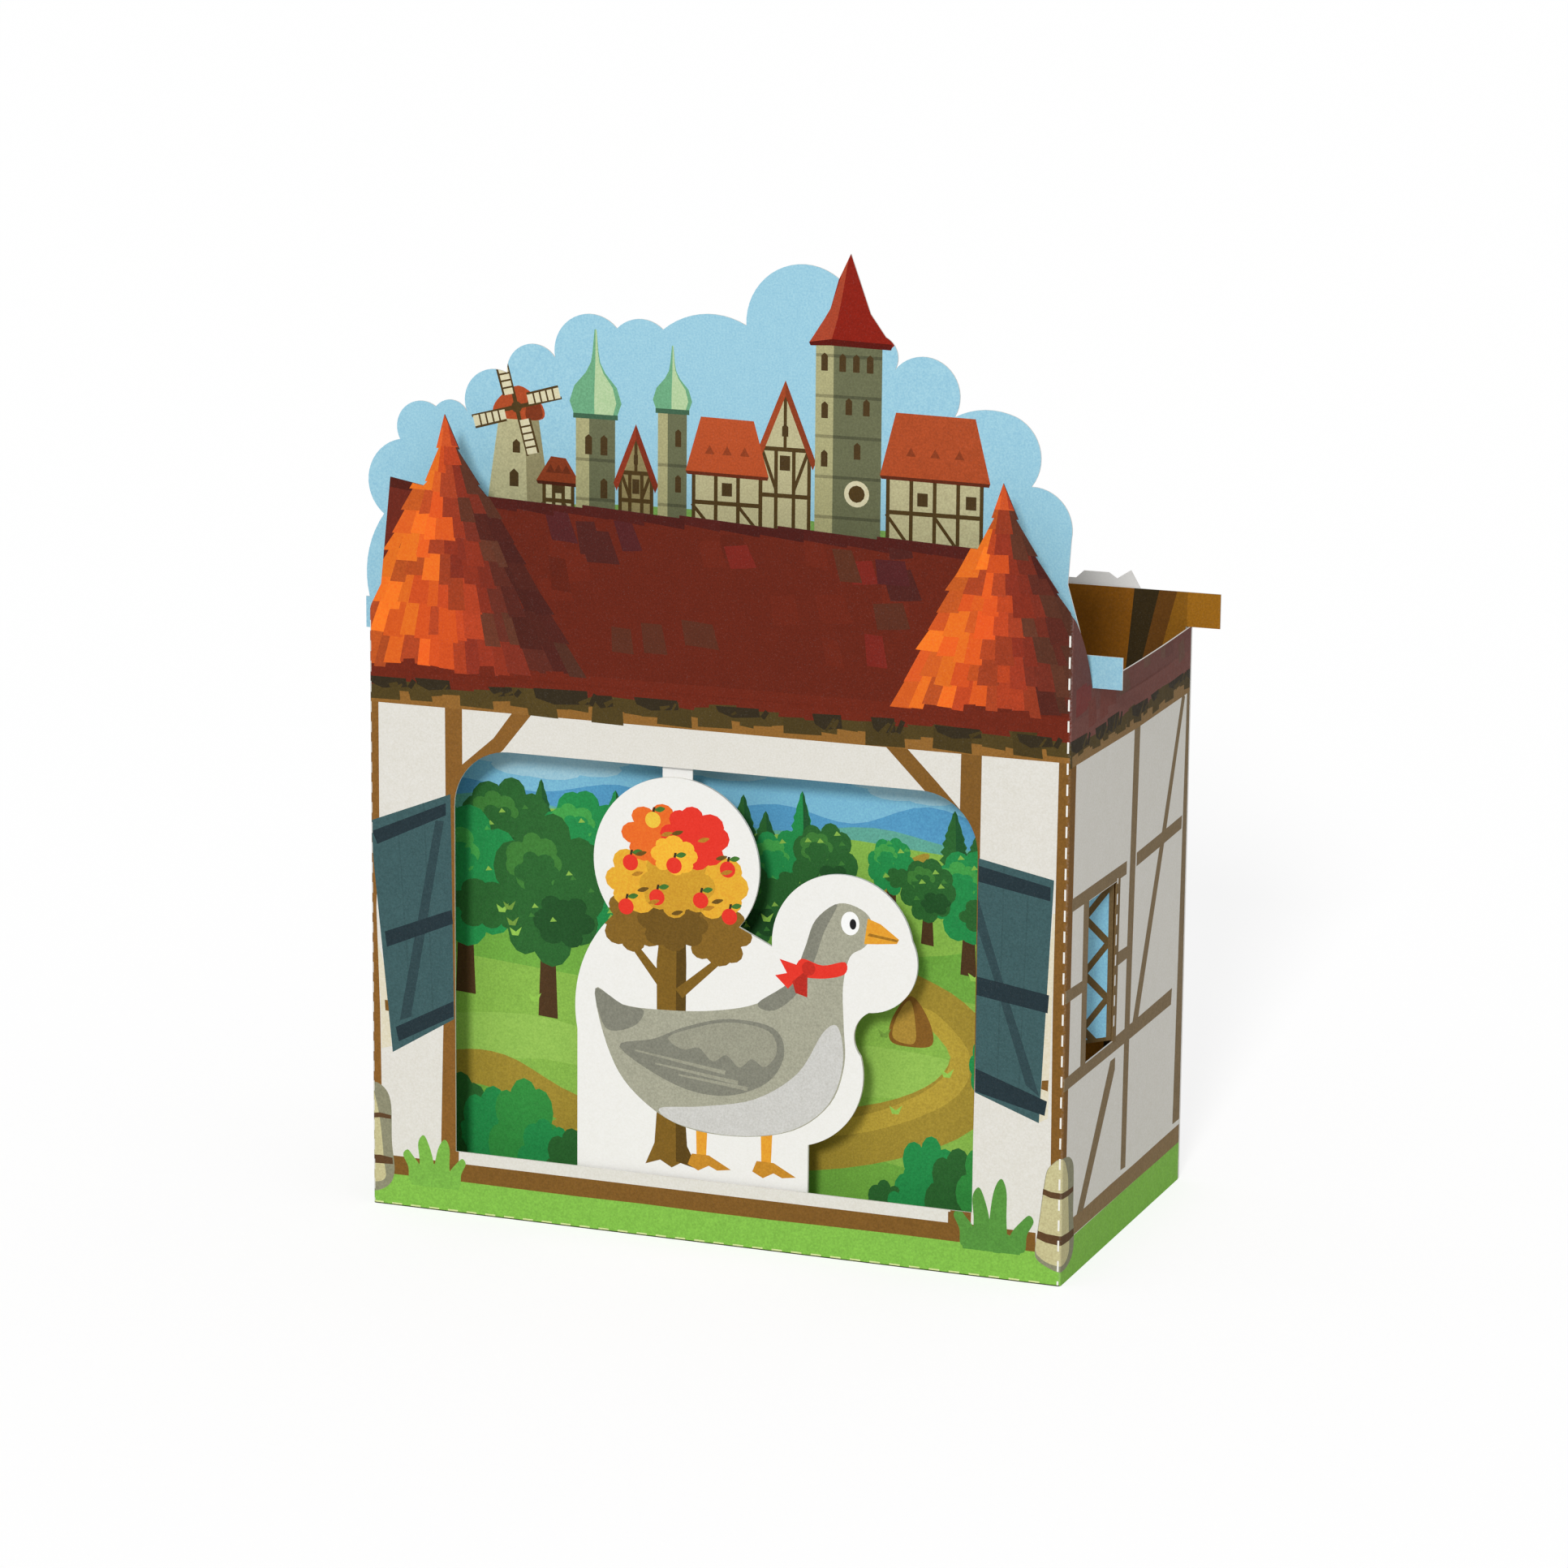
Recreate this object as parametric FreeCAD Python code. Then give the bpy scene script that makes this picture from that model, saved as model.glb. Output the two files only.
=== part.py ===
import FreeCAD, Part
import math
import os

from FreeCAD import Vector

# A toy theatre of printed card: an open-topped box whose front is cut out as a stage
# window, with two turrets and a roof ridge along its top. Two scene cards hang in the
# box by their ears, and a card puppet stands behind the window on a strip to hold it by.
# Millimetres. X runs across the front, Y runs from the front to the rear, Z is up. The
# origin is in the middle of the footprint, on the surface that the box stands on.

# Card, and the play that loose pieces have
card = 0.3
fit_gap = 0.3

# Box, outside
box_width = 130.0
box_depth = 70.0
side_height = 103.3

# Stage window in the front
window_width = 97.5
window_height = 73.9
window_sill = 11.4
window_corner_radius = 10.5

# Ridge along the top of the front, up from the top edges of the sides
ridge_rise = 27.2
ridge_sag = 2.7
ridge_tiles = 5
ridge_tile_step = 0.5

# Turrets: how far the apex is in from a side of the box and up from its top edge, where
# the outer slope meets the fold, and how far across it the inner slope meets the ridge
left_turret_inset = 14.7
left_turret_rise = 41.1
left_turret_foot_rise = 5.6
left_turret_reach = 7.9
right_turret_inset = 12.8
right_turret_rise = 36.0
right_turret_foot_rise = 14.1
right_turret_reach = 4.4
left_turret_flare = 1.25
right_turret_flare = 1.2
shingle_row = 6.0
shingle_step = 0.45
last_row_share = 0.3

# Roof end that shows behind the left turret
gable_rise = 29.4
gable_inset = 4.3
gable_meets_turret_rise = 28.3
gable_foot_rise = 10.3

# Sides: the sweep from the front's fold down to the top edge, and the small window
left_fold_rise = 1.7
left_sweep = 0.3
right_fold_rise = 14.1
right_sweep = 1.1
side_window_setback = 11.6
side_window_sill = 36.9
side_window_width = 15.5
side_window_height = 28.9
flap_gap = 0.3
flap_open_angle = 40.0

# Back: level in the middle, with a flat stack, a small gable and a shoulder at each end
back_rise = 7.2
back_stack_inset = 18.2
back_stack_width = 4.7
back_stack_rise = 8.6
back_stack_bevel = 1.5
back_gable_inset = 11.7
back_gable_rise = 9.3
back_valley_inset = 14.3
back_valley_rise = 7.6
back_shoulder_inset = 8.0
back_shoulder_rise = 3.0

# Glue tabs, with their ends cut back at an angle
tab_width = 8.0
tab_bevel = 4.0
tab_end_gap = 1.0

# Scene cards, with ears that rest on the top edges of the sides
sky_setback = 10.7
ear_length = 5.5
ear_height = 5.6
interior_rise = 6.3
scene_foot_gap = 0.5

# Cloud edge of the sky card. Places are (in from a side of the box, up from the side's
# top edge). Each lobe is an arc through its crown, and ends in the valley after it. The
# left lobes run towards the middle, and the right ones run up towards the spire.
left_neck = (-4.8, 5.6)
left_lobes = [
    ((-5.0, 13.5), (-1.9, 20.7)),
    ((-4.7, 28.4), (1.3, 34.3)),
    ((2.6, 40.4), (8.2, 40.5)),
    ((10.8, 41.9), (14.2, 39.9)),
    ((15.9, 46.6), (21.8, 47.3)),
    ((25.4, 52.5), (30.9, 50.5)),
    ((34.6, 57.9), (42.5, 56.3)),
    ((46.9, 58.2), (51.1, 56.6)),
    ((58.2, 59.7), (66.5, 58.2)),
    ((73.4, 68.7), (83.4, 67.2)),
]
right_neck = [(1.1, 5.6), (4.6, 17.4), (4.1, 25.2)]
right_lobes = [
    ((5.7, 31.3), (11.4, 33.8)),
    ((9.8, 39.1), (14.3, 45.5)),
    ((19.5, 46.4), (25.4, 44.8)),
    ((26.8, 53.2), (36.3, 52.2)),
]
eave_lobe_crown = (36.1, 55.8)

# Spire that stands up above the cloud edge
spire_inset = 44.5
spire_rise = 71.6
spire_eave_rise = 57.7
spire_eave_reach = 6.5
spire_waist_rise = 61.5
spire_waist_reach = 3.7

# Puppet: two cards glued back to back, and a strip glued behind them. Places on its
# edge are (across from the strip's middle, up from the floor), from the left foot.
puppet_setback = 1.0
strip_inset = 58.0
strip_width = 5.6
strip_foot_height = 45.0
strip_below_ridge = 3.5
puppet_left_foot = (-18.6, 0.0)
puppet_edge = [
    (-18.6, 36.0),
    ((-17.6, 48.5), (-11.8, 57.4)),
    ((0.0, 83.0), (11.8, 57.4)),
    (18.0, 54.5),
    ((29.5, 68.5), (43.8, 58.0)),
    ((43.2, 48.5), (36.0, 44.5)),
    ((33.4, 41.0), (34.6, 36.5)),
    ((33.0, 25.5), (25.0, 19.5)),
    (25.0, 0.0),
]

# Planes and edges that the pieces share
left_wall = -box_width / 2
right_wall = box_width / 2
inner_half_width = box_width / 2 - card
front_face = -box_depth / 2
rear_face = box_depth / 2
strip_x = left_wall + strip_inset
ear_end = box_width / 2 + ear_length


def standing(y):
    """Maps a flat outline to the plane at y, which faces the front."""
    return lambda across, up: Vector(across, y, up)


def sideways(x):
    """Maps a flat outline to the plane at x, which faces sideways."""
    return lambda along, up: Vector(x, along, up)


def flat_face(place, start, steps):
    """A face inside a closed outline. A step is a point, or (via, end) for an arc."""
    here = first = place(*start)
    edges = []
    for step in steps:
        if isinstance(step[0], tuple):
            via, end = place(*step[0]), place(*step[1])
            edges.append(Part.Arc(here, via, end).toShape())
        else:
            end = place(*step)
            edges.append(Part.makeLine(here, end))
        here = end
    edges.append(Part.makeLine(here, first))
    return Part.Face(Part.Wire(edges))


def standing_card(y, start, steps):
    """A sheet of card that faces the front, with its front face at y."""
    return flat_face(standing(y), start, steps).extrude(Vector(0, card, 0))


def wall_plane(side):
    """The lower x of the side wall on that side, 1 for right and -1 for left."""
    return inner_half_width if side > 0 else left_wall


def from_left(place):
    return (left_wall + place[0], side_height + place[1])


def from_right(place):
    return (right_wall - place[0], side_height + place[1])


def slope_x(apex, foot, flare, z):
    """Where a turret's slope is at height z: steep at the apex and flared at its foot."""
    down = (apex[1] - z) / (apex[1] - foot[1])
    return apex[0] + (foot[0] - apex[0]) * down**flare


def turret_slope(apex, foot, flare):
    """The edge from a turret's apex to its foot, where each shingle row juts out. The row
    at the foot is left off where less than last_row_share of it would show."""
    step = math.copysign(shingle_step, foot[0] - apex[0])
    rows = int((apex[1] - foot[1]) / shingle_row - last_row_share)
    points = []
    for row in range(1, rows + 1):
        z = apex[1] - row * shingle_row
        x = slope_x(apex, foot, flare, z)
        points += [(x, z), (x - step, z)]
    return points + [foot]


def ridge_edge(start, end):
    """The ridge between the turrets, where each tile lies a little over the next."""
    points = []
    for tile in range(1, ridge_tiles):
        share = tile / ridge_tiles
        x = start[0] + share * (end[0] - start[0])
        z = start[1] + share * (end[1] - start[1])
        points += [(x, z - ridge_tile_step / 2), (x, z + ridge_tile_step / 2)]
    return points


def front_panel():
    """The front: turrets, ridge and roof end along its top, less the stage window."""
    left_apex = from_left((left_turret_inset, left_turret_rise))
    left_foot = from_left((0, left_turret_foot_rise))
    ridge_start = from_left((left_turret_inset + left_turret_reach, ridge_rise))
    right_apex = from_right((right_turret_inset, right_turret_rise))
    right_foot = from_right((0, right_turret_foot_rise))
    ridge_end = from_right((right_turret_inset + right_turret_reach, ridge_rise - ridge_sag))

    meet_z = side_height + gable_meets_turret_rise
    gable_foot_z = side_height + gable_foot_rise
    gable = [
        (slope_x(left_apex, left_foot, left_turret_flare, meet_z), meet_z),
        from_left((gable_inset, gable_rise)),
        (slope_x(left_apex, left_foot, left_turret_flare, gable_foot_z), gable_foot_z),
    ]
    left_slope = turret_slope(left_apex, left_foot, left_turret_flare)

    steps = [(right_wall, 0)]
    steps += turret_slope(right_apex, right_foot, right_turret_flare)[::-1] + [right_apex]
    steps += turret_slope(right_apex, ridge_end, right_turret_flare)
    steps += ridge_edge(ridge_start, ridge_end)[::-1]
    steps += turret_slope(left_apex, ridge_start, left_turret_flare)[::-1] + [left_apex]
    steps += [point for point in left_slope if point[1] > meet_z]
    steps += gable
    steps += [point for point in left_slope if point[1] < gable_foot_z]
    panel = standing_card(front_face, (left_wall, 0), steps)
    return panel.cut(stage_window())


def stage_window():
    """The cutter for the stage window: square at the sill, round at the top corners."""
    half = window_width / 2
    top = window_sill + window_height
    straight = half - window_corner_radius
    corner = window_corner_radius * math.sqrt(0.5)
    centre_z = top - window_corner_radius
    steps = [
        (half, window_sill),
        (half, centre_z),
        ((straight + corner, centre_z + corner), (straight, top)),
        (-straight, top),
        ((-straight - corner, centre_z + corner), (-half, centre_z)),
    ]
    face = flat_face(standing(front_face - card), (-half, window_sill), steps)
    return face.extrude(Vector(0, 3 * card, 0))


def side_panel(side, fold_rise, sweep):
    """A side: level along its top, and swept up to the front's fold."""
    y_front = front_face + card
    y_rear = rear_face - card
    y_notch = front_face + sky_setback - fit_gap
    run = y_notch - y_front
    outward = sweep / math.hypot(run, fold_rise)
    via = (
        (y_front + y_notch) / 2 + outward * fold_rise,
        side_height + fold_rise / 2 + outward * run,
    )
    steps = [
        (y_rear, 0),
        (y_rear, side_height),
        (y_notch, side_height),
        (via, (y_front, side_height + fold_rise)),
    ]
    x = wall_plane(side)
    panel = flat_face(sideways(x), (y_front, 0), steps).extrude(Vector(card, 0, 0))
    corner = Vector(x - card, front_face + side_window_setback, side_window_sill)
    return panel.cut(Part.makeBox(3 * card, side_window_width, side_window_height, corner))


def window_flap(side):
    """A side window's flap, folded into the box about its rear edge."""
    hinge_y = front_face + side_window_setback + side_window_width
    length = side_window_width - 2 * flap_gap
    height = side_window_height - 2 * flap_gap
    corner = Vector(
        wall_plane(side), hinge_y - flap_gap - length, side_window_sill + flap_gap
    )
    flap = Part.makeBox(card, length, height, corner)
    crease = Vector(side * (inner_half_width - card / 2), hinge_y, 0)
    flap.rotate(crease, Vector(0, 0, 1), -side * flap_open_angle)
    return flap


def back_panel():
    """The back, whose top edge is the same from both sides."""
    stack_outer = back_stack_inset - back_stack_width / 2
    stack_inner = back_stack_inset + back_stack_width / 2
    half = [
        (0, 0),
        (back_shoulder_inset, back_shoulder_rise),
        (back_gable_inset, back_gable_rise),
        (back_valley_inset, back_valley_rise),
        (stack_outer, back_stack_rise),
        (stack_inner, back_stack_rise),
        (stack_inner + back_stack_bevel, back_rise),
    ]
    steps = [(right_wall, 0)]
    steps += [from_right(place) for place in half]
    steps += [from_left(place) for place in half[::-1]]
    return standing_card(rear_face - card, (left_wall, 0), steps)


def floor_panel():
    """The floor, folded in from the foot of the front."""
    corner = Vector(-inner_half_width, front_face + card, 0)
    return Part.makeBox(2 * inner_half_width, box_depth - 2 * card, card, corner)


def glue_tab(place, low, high):
    """A tab's face. Its places are (along its crease, away from its crease)."""
    steps = [(high, 0), (high - tab_bevel, tab_width), (low + tab_bevel, tab_width)]
    return flat_face(place, (low, 0), steps)


def rear_tab(side):
    """The tab on a side's rear edge, glued to the inside of the back."""
    y = rear_face - 2 * card
    crease_x = side * inner_half_width

    def place(along, away):
        return Vector(crease_x - side * away, y, along)

    face = glue_tab(place, card + tab_end_gap, side_height - tab_end_gap)
    return face.extrude(Vector(0, card, 0))


def floor_side_tab(side):
    """The tab on a side of the floor, folded up and glued inside that side."""
    x = inner_half_width - card if side > 0 else -inner_half_width

    def place(along, away):
        return Vector(x, along, card + away)

    low = front_face + card + tab_end_gap
    high = rear_face - 2 * card - tab_end_gap
    return glue_tab(place, low, high).extrude(Vector(card, 0, 0))


def floor_rear_tab():
    """The tab on the rear edge of the floor, folded up and glued inside the back."""
    half = inner_half_width - tab_width - tab_end_gap

    def place(along, away):
        return Vector(along, rear_face - 2 * card, card + away)

    return glue_tab(place, -half, half).extrude(Vector(0, card, 0))


def scene_foot():
    """A scene card's edge from inside its left ear, round its foot, to its right ear."""
    half = inner_half_width - card - fit_gap
    foot = card + scene_foot_gap
    return [
        (-half, side_height),
        (-half, foot),
        (half, foot),
        (half, side_height),
        (ear_end, side_height),
    ]


def sky_card():
    """The scene card behind the puppet: cloud-edged, with one spire above the cloud."""
    steps = scene_foot() + [(ear_end, side_height + ear_height)]
    steps += [from_right(place) for place in right_neck]
    steps += [(from_right(crown), from_right(valley)) for crown, valley in right_lobes]
    eave = from_right((spire_inset - spire_eave_reach, spire_eave_rise))
    steps.append((from_right(eave_lobe_crown), eave))
    steps.append(from_right((spire_inset - spire_waist_reach, spire_waist_rise)))
    steps.append(from_right((spire_inset, spire_rise)))
    valleys = [left_neck] + [valley for crown, valley in left_lobes]
    steps.append(from_left(valleys[-1]))
    for lobe in range(len(left_lobes) - 1, -1, -1):
        crown = left_lobes[lobe][0]
        steps.append((from_left(crown), from_left(valleys[lobe])))
    steps.append((-ear_end, side_height + ear_height))
    return standing_card(front_face + sky_setback, (-ear_end, side_height), steps)


def interior_card():
    """The scene card at the rear of the box, straight along its top edge."""
    top = side_height + interior_rise
    steps = scene_foot() + [(ear_end, top), (-ear_end, top)]
    y = rear_face - 3 * card - fit_gap
    return standing_card(y, (-ear_end, side_height), steps)


def puppet_card(layer):
    """One of the puppet's two layers, counted from the front."""
    def place(across, up):
        return Vector(strip_x + across, front_face + puppet_setback + layer * card, card + up)

    return flat_face(place, puppet_left_foot, puppet_edge).extrude(Vector(0, card, 0))


def puppet_strip():
    """The strip to hold the puppet by, which ends below the ridge of the front."""
    low = card + strip_foot_height
    high = side_height + ridge_rise - strip_below_ridge
    corner = Vector(strip_x - strip_width / 2, front_face + puppet_setback + 2 * card, low)
    return Part.makeBox(strip_width, card, high - low, corner)


pieces = {
    "front_panel": front_panel(),
    "left_side_panel": side_panel(-1, left_fold_rise, left_sweep),
    "right_side_panel": side_panel(1, right_fold_rise, right_sweep),
    "back_panel": back_panel(),
    "floor_panel": floor_panel(),
    "left_rear_tab": rear_tab(-1),
    "right_rear_tab": rear_tab(1),
    "floor_left_tab": floor_side_tab(-1),
    "floor_right_tab": floor_side_tab(1),
    "floor_rear_tab": floor_rear_tab(),
    "left_window_flap": window_flap(-1),
    "right_window_flap": window_flap(1),
    "sky_card": sky_card(),
    "interior_card": interior_card(),
    "puppet_front_card": puppet_card(0),
    "puppet_back_card": puppet_card(1),
    "puppet_strip": puppet_strip(),
}

os.makedirs("parts", exist_ok=True)
for name, shape in pieces.items():
    shape.exportStep("parts/" + name + ".step")
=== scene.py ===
import math
import random

import bpy
import numpy as np
from mathutils import Matrix, Vector
from mathutils.geometry import delaunay_2d_cdt


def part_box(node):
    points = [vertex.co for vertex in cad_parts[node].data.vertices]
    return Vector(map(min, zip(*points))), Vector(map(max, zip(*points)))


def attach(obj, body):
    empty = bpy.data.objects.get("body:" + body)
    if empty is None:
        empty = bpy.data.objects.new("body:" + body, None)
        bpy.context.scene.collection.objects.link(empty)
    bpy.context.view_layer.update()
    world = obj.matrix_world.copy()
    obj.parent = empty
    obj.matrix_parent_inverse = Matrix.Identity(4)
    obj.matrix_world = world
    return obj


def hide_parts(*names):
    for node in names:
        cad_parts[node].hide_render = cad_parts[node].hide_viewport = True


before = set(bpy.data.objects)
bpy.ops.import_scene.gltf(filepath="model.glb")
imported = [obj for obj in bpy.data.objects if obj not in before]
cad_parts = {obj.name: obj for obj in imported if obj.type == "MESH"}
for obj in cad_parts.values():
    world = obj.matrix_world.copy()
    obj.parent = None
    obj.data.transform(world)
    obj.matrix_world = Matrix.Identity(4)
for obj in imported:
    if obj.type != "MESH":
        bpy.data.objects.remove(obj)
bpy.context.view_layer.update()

# A toy theatre of printed card. Each card is a closed thin mesh with the outline of the
# solid that it stands for. Its print is laid down as flat shapes, cut into one mesh, so
# that every edge of the print is a real edge. Art is in millimetres on the card.
MM = 0.001

# The card: its rounded folds, how finely a sheet is divided to bend, and the cosine past
# which a solid's face counts as one side of its card
FOLD_RADIUS = 0.55
FOLD_STEPS = 5
WARP_GRID = 6.0
FACING = 0.99
WELD = 1e-3
SLIVER = 1e-7
NORMAL_STEP = 0.02

# How far out of flat the cards are: the front sinks in, the sides bulge out, and the loose
# cards bow to the rear, or to the front where the number is negative
FRONT_DIP = 0.16
FRONT_DIP_FULL = 40
SIDE_BULGE = 0.75
SKY_BOW = 0.5
INTERIOR_BOW = -0.4
PUPPET_BOW = 0.12

# Dashes printed along the folds
DASH_LENGTH = 1.95
DASH_PERIOD = 3.655
DASH_WIDTH = 0.38
DASH_IN = 0.45
DASH_FIRST = 3.6

# Camera, measured from the photograph's perspective
IMAGE_SIDE = 1932
FOCAL_PIXELS = 6970.8
SENSOR = 36.0
CAMERA_PLACE = (0.34966, -0.92295, 0.29971)
CAMERA_YAW = -20.743
CAMERA_PITCH = 12.786
CAMERA_ROLL = -0.491

# Light and floor. The floor lights the cards as a plain white one would, and the camera
# sees it nearly white, with a soft shadow on it.
WORLD_LEVEL = 0.515
KEY_STRENGTH = 1.55
KEY_AZIMUTH = 10.0
KEY_ELEVATION = 23.0
KEY_ANGLE = 9
FLOOR_REACH = 12
FLOOR_WHITE = 0.86
FLOOR_SHOWN = 0.42
FLOOR_GLOW = 0.70

# Card surface: how many features of each kind of noise there are to the metre
FINE_GRAIN = 2900
MOTTLE = 420
SPECKS = 4600
CRACKS = 2600
SHEEN = 900
TOOTH = 2400

# Inks, as sRGB
WALL = (226, 223, 214)
TIMBER = (137, 94, 41)
RAIL = (127, 89, 38)
SIDE_TIMBER = (133, 113, 82)
SIDE_RAIL = (140, 115, 79)
GRASS = (133, 190, 76)
ROOF = (104, 36, 20)
ROOF_LIGHT = (124, 37, 27)
ROOF_DARK = (80, 34, 28)
SIDE_ROOF = (111, 68, 60)
RIDGE = (77, 27, 21)
GABLE = (108, 40, 27)
EAVE = (80, 65, 30)
EAVE_DARK = (52, 43, 27)
BEAM_LIT = (146, 102, 46)
SHUTTER = (63, 93, 95)
SHUTTER_BRACE = (50, 72, 76)
SHUTTER_BAR = (38, 53, 59)
TUFT_LIGHT = (124, 181, 74)
TUFT_DARK = (88, 147, 63)
STONE = (142, 140, 114)
STONE_LIGHT = (200, 192, 145)
STONE_BAND = (95, 68, 42)
SKY = (158, 207, 226)
GLASS = (134, 192, 216)
LATTICE = (98, 78, 44)
PAPER = (242, 241, 237)
DASH = (240, 238, 230)
FOOT_DASH = (216, 226, 158)
# Painted shadow: the dark colour of a line along the front's foot, standing in for the shadow where the
# card meets the floor
FOOT_SHADOW = (62, 70, 42)


def linear(colour):
    """An sRGB colour of 0 to 255 as linear light."""
    shares = [c / 255 for c in colour]
    return [s / 12.92 if s <= 0.04045 else ((s + 0.055) / 1.055) ** 2.4 for s in shares]


def toned(colour, factor):
    """The colour, lighter for a factor over 1 and darker for one under it."""
    return tuple(min(255, c * factor) for c in colour)


def between(low, high, share):
    """The value, or the point or colour, at that share of the way from low to high."""
    if isinstance(low, tuple):
        return tuple(a + (b - a) * share for a, b in zip(low, high))
    return low + (high - low) * share


class Art:
    """A print: filled shapes in the order in which they are laid, on a ground colour."""

    def __init__(self, ground=None):
        self.ground = ground
        self.shapes = []

    def fill(self, colour, points):
        self.shapes.append((colour, [(float(p[0]), float(p[1])) for p in points]))

    def block(self, colour, left, low, right, high):
        self.fill(colour, [(left, low), (right, low), (right, high), (left, high)])

    def beam(self, colour, start, end, width, end_width=None):
        """A straight bar between two points, tapered where end_width is given."""
        (x0, y0), (x1, y1) = start, end
        length = math.hypot(x1 - x0, y1 - y0)
        ax, ay = (y0 - y1) / length / 2, (x1 - x0) / length / 2
        w, v = width, end_width or width
        self.fill(colour, [(x0 + ax * w, y0 + ay * w), (x0 - ax * w, y0 - ay * w),
                           (x1 - ax * v, y1 - ay * v), (x1 + ax * v, y1 + ay * v)])

    def oval(self, colour, centre, across, up=None, steps=20):
        x, y = centre
        up = up or across
        turns = [2 * math.pi * k / steps for k in range(steps)]
        self.fill(colour, [(x + across * math.cos(a), y + up * math.sin(a)) for a in turns])

    def soft(self, colour, points, steps=5):
        """A smooth closed shape through the points."""
        curve = []
        count = len(points)
        for i in range(count):
            p0, p1, p2, p3 = (np.array(points[(i + k) % count], float) for k in (-1, 0, 1, 2))
            for k in range(steps):
                t = k / steps
                curve.append(0.5 * (2 * p1 + (p2 - p0) * t + (2 * p0 - 5 * p1 + 4 * p2 - p3) * t**2
                                    + (3 * p1 - p0 - 3 * p2 + p3) * t**3))
        self.fill(colour, curve)

    def dashes(self, start, end, colour=DASH, width=DASH_WIDTH):
        """A row of dashes along a straight fold. The first dash's middle is at start, and
        the dash before it, cut short by the card's edge, is drawn as well."""
        a, b = np.array(start, float), np.array(end, float)
        length = float(np.linalg.norm(b - a))
        along = (b - a) / length
        done = -DASH_PERIOD - DASH_LENGTH / 2
        while done + DASH_LENGTH < length:
            self.beam(colour, a + along * done, a + along * (done + DASH_LENGTH), width)
            done += DASH_PERIOD

    def placed(self, move):
        """The same print, with every point moved by that function."""
        other = Art(self.ground)
        other.shapes = [(c, [move(*p) for p in points]) for c, points in self.shapes]
        return other


# Reading a card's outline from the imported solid


def face_loops(node, toward, turn=None):
    """The loops round a solid's faces that look along toward, in millimetres."""
    turn = turn or Matrix.Identity(4)
    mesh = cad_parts[node].data
    edges = set()
    for polygon in mesh.polygons:
        if (turn.to_3x3() @ polygon.normal).dot(Vector(toward)) > FACING:
            corners = [turn @ mesh.vertices[i].co for i in polygon.vertices]
            corners = [tuple(round(c / MM, 3) for c in corner) for corner in corners]
            edges.update(zip(corners, corners[1:] + corners[:1]))
    follows = {a: b for a, b in edges if (b, a) not in edges}
    loops = []
    while follows:
        here = next(iter(follows))
        loop = []
        while here in follows:
            loop.append(here)
            here = follows.pop(here)
        loops.append(loop)
    return loops


def flat_loops(node, toward, pick, turn=None):
    """The loops of face_loops as flat points, where pick turns (x, y, z) into them."""
    return [[pick(*point) for point in loop] for loop in face_loops(node, toward, turn)]


def standing_loops(node):
    """The outline and holes of a card that faces the front, as (x, z)."""
    return flat_loops(node, (0, -1, 0), lambda x, y, z: (x, z))


def inside(polygon, points):
    """Which of the points lie inside the polygon."""
    x, y = points[:, 0], points[:, 1]
    result = np.zeros(len(points), bool)
    for (x0, y0), (x1, y1) in zip(polygon, polygon[1:] + polygon[:1]):
        if y0 == y1:
            continue
        crosses = (y0 > y) != (y1 > y)
        result ^= crosses & (x < (x1 - x0) * (y - y0) / (y1 - y0) + x0)
    return result


def lay_print(art, centres, where, colours):
    """Sets the colour of each triangle in where to that of the shape on top of it."""
    if art.ground is not None:
        colours[where] = (*linear(art.ground), 1)
    for colour, points in art.shapes:
        corners = np.array(points)
        low, high = corners.min(0), corners.max(0)
        near = where & (centres >= low).all(1) & (centres <= high).all(1)
        rows = np.nonzero(near)[0]
        hit = rows[inside(points, centres[rows])]
        colours[hit] = (*linear(colour), 1) if colour else (0, 0, 0, 0)


def sheet_normal(place, u, v, depth):
    """The direction that the sheet faces at a place, or its opposite."""
    left, right = (Vector(place(u + step, v, depth)) for step in (-NORMAL_STEP, NORMAL_STEP))
    low, high = (Vector(place(u, v + step, depth)) for step in (-NORMAL_STEP, NORMAL_STEP))
    return (right - left).cross(high - low).normalized()


# The order of the materials on every card
ON_INK, ON_BARE, ON_EDGE = range(3)


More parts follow.
